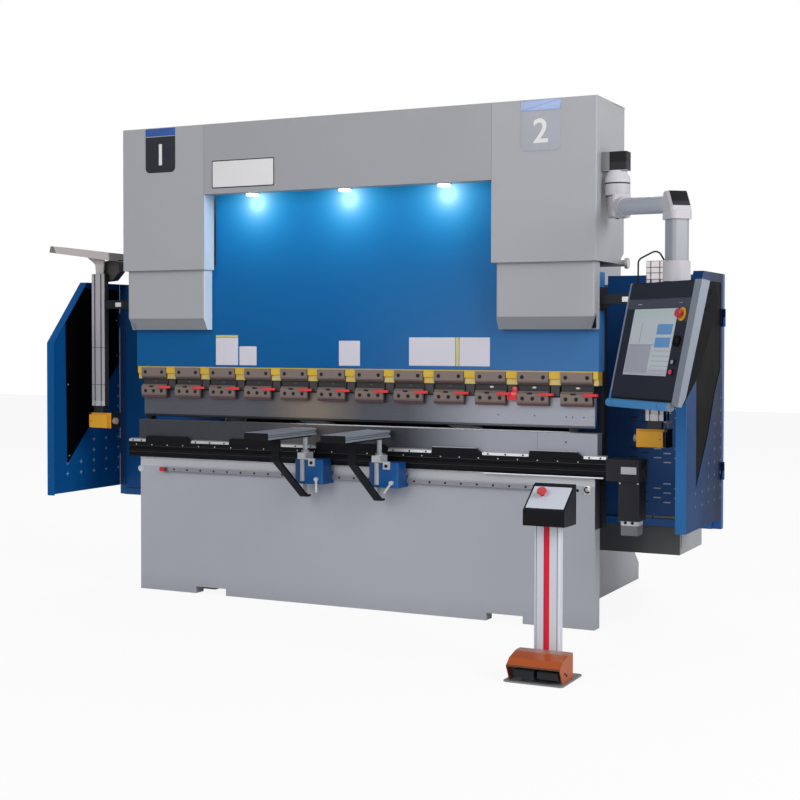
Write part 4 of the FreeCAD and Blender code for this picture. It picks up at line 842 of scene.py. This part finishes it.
# Painted light and shade: the two walls are lighter and darker copies of one blue, lighter on the left.
back_blue.tint(back_blue.x < 0.0, (0.003, 0.078, 0.27))
dress(["guard_backs"], back_blue)
vent_pale = sprayed("vent_pale", (0.40, 0.44, 0.48), 0.5, 0.0, 0.15)
vent_dark = sprayed("vent_dark", (0.006, 0.014, 0.04), 0.5, 0.0, 0.15)
WALL_FACE = 406
wide_rows = (540, 584, 627, 727, 769, 812, 915, 958, 1002)
side_rows = (561, 605, 748, 790, 935, 979)
vent = slab("vents_pale", (-18, -0.6, -2.6), (18, 0, 2.6))
eased(vent, lambda c, d: abs(d.y) > 0.9, 2.2, 2)
spots = [(1437, WALL_FACE, z) for z in wide_rows] + [(1489, WALL_FACE, z) for z in side_rows]
spots += [(1390, WALL_FACE, z) for z in side_rows]
fitted(placed(vent, spots), vent_pale, "machine")
# Painted shade: dark vent marks where the vents lie in shade.
vent = slab("vents_dark", (-18, -0.6, -3), (18, 0, 3))
eased(vent, lambda c, d: abs(d.y) > 0.9, 2.2, 2)
spots = [(1331, WALL_FACE, z) for z in wide_rows] + [(1277, WALL_FACE, z) for z in side_rows]
spots += [(-x, WALL_FACE, z) for x in (1437, 1331) for z in wide_rows]
spots += [(-x, WALL_FACE, z) for x in (1489, 1384, 1277) for z in side_rows]
fitted(placed(vent, spots), vent_dark, "machine")
lip_a = rounded(slab("rail_lip", (1316, 402, 464.3), (1366, 405.6, 476)), 1)
lip_b = rounded(slab("rail_lip_b", (1374, 402, 464.3), (1515, 405.6, 476)), 1)
lip_grey = sprayed("lip_grey", (0.20, 0.21, 0.20), 0.5, 0.03, 0.1)
fitted(joined("rail_lip", [lip_a, lip_b]), lip_grey, "machine")
seal_right = slab("door_seals", (1651, 401, 482), (1689, 406, 1598))
seal_left = slab("door_seal_left", (-1689, 401, 482), (-1651, 406, 1598))
for seal in (seal_right, seal_left):
    eased(seal, lambda c, d: abs(d.z) > 0.9 and c.y < 402, 2, 2)
for way in (-1, 1):
    low_x, high_x = sorted((way * 1003, way * 1144))
    infill = slab("guard_infill", (low_x, 404, 612), (high_x, 424, 1240))
    bordered(infill, lambda c, n: n.y < -0.9, 10, 0.6)
    fitted(infill, back_blue, "machine")
seal_blue = sprayed("seal_blue", (0.004, 0.035, 0.13), 0.6, 0.1, 0.1)
fitted(joined("door_seals", [seal_right, seal_left]), seal_blue, "machine")

# Pendant arm: a grey foot and a black mounting block, then white cast covers with a dark joint
# ring, a light grey tube, an elbow closed by a two-part black cap, and a drop tube.
mount_black = sprayed("mount_black", (0.010, 0.010, 0.012), 0.45, 0.05, 0.2)
mount_black.tint(mount_black.z < 2.075, (0.022, 0.022, 0.025))
mount_black.tint(mount_black.z < 2.0408, (0.52, 0.51, 0.54))
mount_black.tint(mount_black.z < 1.9868, (0.05, 0.05, 0.055))
# Painted shadow: the block's end next to the head cover is soft grey, continuing the shadow patch on the
# cover's side.
mount_black.tint((mount_black.x < 1.303) * (mount_black.z > 2.0408), (0.19, 0.195, 0.205))
dress(["arm_bracket"], mount_black)
cover_white = sprayed("cover_white", (0.44, 0.43, 0.46), 0.4, 0.03, 0.05)
cover_white.tint((cover_white.z > 1.9800) * (cover_white.z < 1.986), (0.05, 0.05, 0.055))
dress(["arm_castings", "pendant_neck"], cover_white)
tube_grey = sprayed("tube_grey", (0.39, 0.42, 0.49), 0.36, 0.02, 0.05, metallic=0.1)
tube_grey.tint(tube_grey.z < 1.7775, (0.275, 0.29, 0.315))
dress(["arm_tubes"], tube_grey)
swivel = Vector((1330, -43, 1882))
elbow = Vector((1735, -555, 1838))
flat = Vector((elbow.x - swivel.x, elbow.y - swivel.y, 0)).normalized()
cross_way = Vector((-flat.y, flat.x, 0))
seat = slab("elbow_cap", (-22, -36, 0), (22, 36, 5))
pick_faces(seat, lambda c, n: n.z > 0.9)
bpy.ops.mesh.bevel(offset=0.003, segments=2, affect="EDGES")
bpy.ops.mesh.select_all(action="DESELECT")
bpy.ops.object.mode_set(mode="OBJECT")
upper = elbow + flat * 4 + Vector((0, 0, 52))
lower = elbow + flat * 44 + Vector((0, 0, -12))
slope = (lower - upper).normalized()
outward = cross_way.cross(slope)
outward = outward if outward.dot(flat) > 0 else -outward
stretch = Matrix.Diagonal(((lower - upper).length / 48, 1.0, 1.0, 1.0))
turn = Matrix((slope, outward.cross(slope), outward)).transposed().to_4x4()
seat.data.transform(Matrix.Translation((upper + lower) / 2000) @ turn @ stretch)
cap_black = sprayed("cap_black", (0.010, 0.010, 0.012), 0.4, 0.04, 0.2)
cap_black.tint(cap_black.z < 1.846, (0.028, 0.028, 0.032))
fitted(seat, cap_black, "arm")
clip = rounded(turned("arm_bolts", swivel + flat * 2 + Vector((0, 0, -53)), (0, 0, 1), 7, 9, 12), 1)
fitted(clip, black_steel, "arm")


# Control pendant: a black wedge case between silver rails with a light blue grip. The screen
# has a pale page with plain fields, and keys, knob and stop button are in the right column.
pendant_at = Vector((1643, -598, 1290))
yaw = math.radians(43.7)
tilt = math.radians(12.0)
wide_way = Vector((math.cos(yaw), -math.sin(yaw), 0.0))
face_way = Vector((-math.sin(yaw) * math.cos(tilt), -math.cos(yaw) * math.cos(tilt), math.sin(tilt)))
tall_way = face_way.cross(wide_way)


def lean(piece):
    turn = Matrix((wide_way, tall_way, face_way)).transposed().to_4x4()
    piece.data.transform(Matrix.Translation(pendant_at / 1000) @ turn)
    return piece


def seen_square(finish):
    place = [finish.x - pendant_at.x / 1000, finish.y - pendant_at.y / 1000, finish.z - pendant_at.z / 1000]
    across = place[0] * wide_way.x + place[1] * wide_way.y
    up = place[0] * tall_way.x + place[1] * tall_way.y + place[2] * tall_way.z
    out = place[0] * face_way.x + place[1] * face_way.y + place[2] * face_way.z
    return across, up, out


case_black = sprayed("case_black", (0.006, 0.006, 0.008), 0.45, 0.12, 0.2)
dress(["pendant_case"], case_black)
rail_silver = sprayed("rail_silver", (0.20, 0.225, 0.265), 0.34, 0.02, 0.06, metallic=0.2)
across, up, out = seen_square(rail_silver)
grip_blue = (0.055, 0.245, 0.53)
grip = up < -0.22
rail_silver.tint(rail_silver.within(across, -0.2268, 0.2528) * grip, grip_blue)
rail_silver.tint((across < -0.2268) * (up < -0.205), grip_blue)
for seam_at in (-0.180, 0.178):
    rail_silver.tint(rail_silver.within(across, seam_at, seam_at + 0.0035) * grip, (0.02, 0.10, 0.26))
dress(["pendant_frame"], rail_silver)
panel_navy = sprayed("panel_navy", (0.016, 0.018, 0.028), 0.38, 0.04, 0.15)
across, up, out = seen_square(panel_navy)
panel_navy.tint(panel_navy.within(up, 0.136, 0.1755), (0.055, 0.062, 0.085))
panel_navy.tint(up > 0.1755, (0.012, 0.015, 0.024))
right_column = across > 0.172
panel_navy.tint(right_column * panel_navy.within(up, 0.082, 0.1375), (0.045, 0.05, 0.07))
ring_place = (across - 0.205) * (across - 0.205) + (up - 0.110) * (up - 0.110)
panel_navy.tint((ring_place < 0.00076) * (out > 0.0045), (0.70, 0.38, 0.02))
dress(["pendant_panel"], panel_navy)
page = Finish("screen_page", (0.43, 0.46, 0.49), 0.25)
across, up, out = seen_square(page)
tone = page.noise(3.0, 1.0)
page.base = page.mix(tone, (0.40, 0.43, 0.455), (0.47, 0.50, 0.52))
page.tint(page.ease(up, 0.07, 0.13), (0.38, 0.46, 0.44))
page.tint(page.ease(up, -0.10, -0.135), (0.36, 0.33, 0.42))
page.tint((across < 0.015) * page.within(up, -0.125, -0.012), (0.30, 0.31, 0.34))
page.tint(page.within(across, -0.160, -0.085) * page.within(up, -0.008, 0.078), (0.44, 0.47, 0.48))
page.tint(page.within(across, -0.088, -0.084) * page.within(up, -0.008, 0.078), (0.24, 0.26, 0.27))
page.tint((across < 0.03) * page.within(up, -0.013, -0.010), (0.22, 0.24, 0.25))
for low, top in ((0.030, 0.072), (-0.022, 0.018)):
    page.tint(page.within(across, 0.036, 0.150) * page.within(up, low, top), (0.10, 0.235, 0.46))
for row in (-0.036, -0.056, -0.076, -0.096, -0.114):
    page.tint((across > 0.030) * page.within(up, row - 0.0012, row + 0.0012), (0.27, 0.30, 0.30))
page.tint((abs(across) > 0.1655) + (abs(up) > 0.1320), (0.50, 0.52, 0.54))
page.put("Emission Color", page.base)
page.put("Emission Strength", 0.12)
dress(["pendant_screen"], page)
key_red = sprayed("key_red", (0.74, 0.03, 0.11), 0.3, 0.0, 0.1, coat=0.3)
button_red = sprayed("button_red", (0.50, 0.008, 0.02), 0.28, 0.0, 0.1, coat=0.5)
dress(["pendant_stop", "stand_stop"], button_red)
spots = [(-146 + 5 * k, 154, 4.0) for k in range(7)]
spots += [(172, 156, 4.0), (180, 156, 4.0), (189, 157, 4.0)]
dots = screws("panel_marks", (0, 0, 1), 1.6, 0.5, spots, 8)
fitted(lean(dots), plate_white, "pendant")
for name, v, size, paint in (("key_grey", -79, 8, clip_steel), ("key_red", -119, 9.5, key_red)):
    key = rounded(turned(name, (206, v, 8.5), (0, 0, 1), size, 4, 24), 1)
    fitted(lean(sunk(key, (0, 0, 1), 2, 0.8)), paint, "pendant")
skirt = rounded(turned("knob_skirt", (206, 4, 3.8), (0, 0, 1), 23, 10, 32), 3)
fitted(lean(skirt), case_black, "pendant")
knob = rounded(slab("knob_grip", (201, -14, 13), (211, 22, 24)), 2)
fitted(lean(sunk(knob, (0, 0, 1), 1.2, 0.5)), case_black, "pendant")
latch = rounded(turned("case_knobs", (0, 0, 0), (1, 0, 0), 14, 8, 20), 2)
sunk(latch, (1, 0, 0), 4, 2)
fitted(lean(placed(latch, [(291, 205, -34), (291, 150, -38)])), case_black, "pendant")

# Foot control stand: a silver extruded column with a red centre stripe on a grey base plate,
# under a black console with a pale panel around the red stop button.
stand_silver = sprayed("stand_silver", (0.56, 0.575, 0.63), 0.34, 0.02, 0.04, metallic=0.15)
on_front = (stand_silver.y < -0.9645) * (stand_silver.z > 0.0065)
for seam_x in (1.3025, 1.3875):
    seam = on_front * stand_silver.within(stand_silver.x, seam_x - 0.0015, seam_x + 0.0015)
    stand_silver.tint(seam, (0.16, 0.16, 0.18))
stand_silver.tint(stand_silver.z < 0.0065, (0.20, 0.20, 0.21))
dress(["stand_column"], stand_silver)
stripe_red = sprayed("stripe_red", (0.56, 0.006, 0.03), 0.36, 0.0, 0.08)
COLUMN_FACE = -965
stripe = slab("stand_stripe", (1332, COLUMN_FACE - 0.6, 8), (1356, COLUMN_FACE, 589))
eased(stripe, lambda c, d: abs(d.z) > 0.9 and c.y < -965.3, 0.5, 2)
fitted(stripe, stripe_red, "machine")
console_black = sprayed("console_black", (0.005, 0.006, 0.008), 0.42, 0.06, 0.2)
nose = (console_black.y < -1.0555) * console_black.within(console_black.z, 0.604, 0.640)
console_black.tint(nose, (0.006, 0.006, 0.008))
dress(["stand_console"], console_black)
panel = slab("console_panel", (1288, -62, 0), (1440, 62, 1.2))
eased(panel, lambda c, d: abs(d.z) > 0.9, 4, 3)
bordered(panel, lambda c, n: n.z > 0.95, 1.5, 0.2)
rise = math.atan2(86, 120)
lift = Vector((0, -math.sin(rise), math.cos(rise))) * 0.0001
panel.data.transform(Matrix.Translation(Vector((0, -0.996, 0.695)) + lift) @ Matrix.Rotation(rise, 4, "X"))
panel_pale = sprayed("panel_pale", (0.50, 0.53, 0.60), 0.38, 0.02, 0.05)
fitted(panel, panel_pale, "machine")

# Pedal hood: bent orange sheet over two black rocking pedals with ribbed treads. Two small
# black screws hold its right cheek.
hood_orange = sprayed("hood_orange", (0.34, 0.062, 0.006), 0.36, 0.04, 0.12, coat=0.05)
shelf = hood_orange.within(hood_orange.z, 0.1005, 0.2) * (hood_orange.y > -1.02)
hood_orange.tint(shelf * 0.6, (0.30, 0.22, 0.19))
hood_orange.tint((hood_orange.z < 0.0885) * (hood_orange.y < -1.110), (0.10, 0.03, 0.015))
dress(["pedal_hood"], hood_orange)
pedal_black = sprayed("pedal_black", (0.022, 0.023, 0.027), 0.5, 0.1, 0.2)
dress(["pedal_left", "pedal_right"], pedal_black)
for side, px in (("left", 1308), ("right", 1403)):
    rib = slab("pedal_ribs_" + side, (px - 33, -2, 0), (px + 33, 2, 1.4))
    eased(rib, lambda c, d: abs(d.x) > 0.9 and c.z > 1, 0.6, 1)
    spots = [(0, -1096 + 12 * k, 51.4 - 0.12 * k) for k in range(5)]
    fitted(placed(rib, spots), pedal_black, "pedal_" + side)
spots = [(1453, -1058, 40), (1453, -1040, 30)]
fitted(screws("hood_screws", (1, 0, 0), 4, 3, spots, 12), black_steel, "machine")
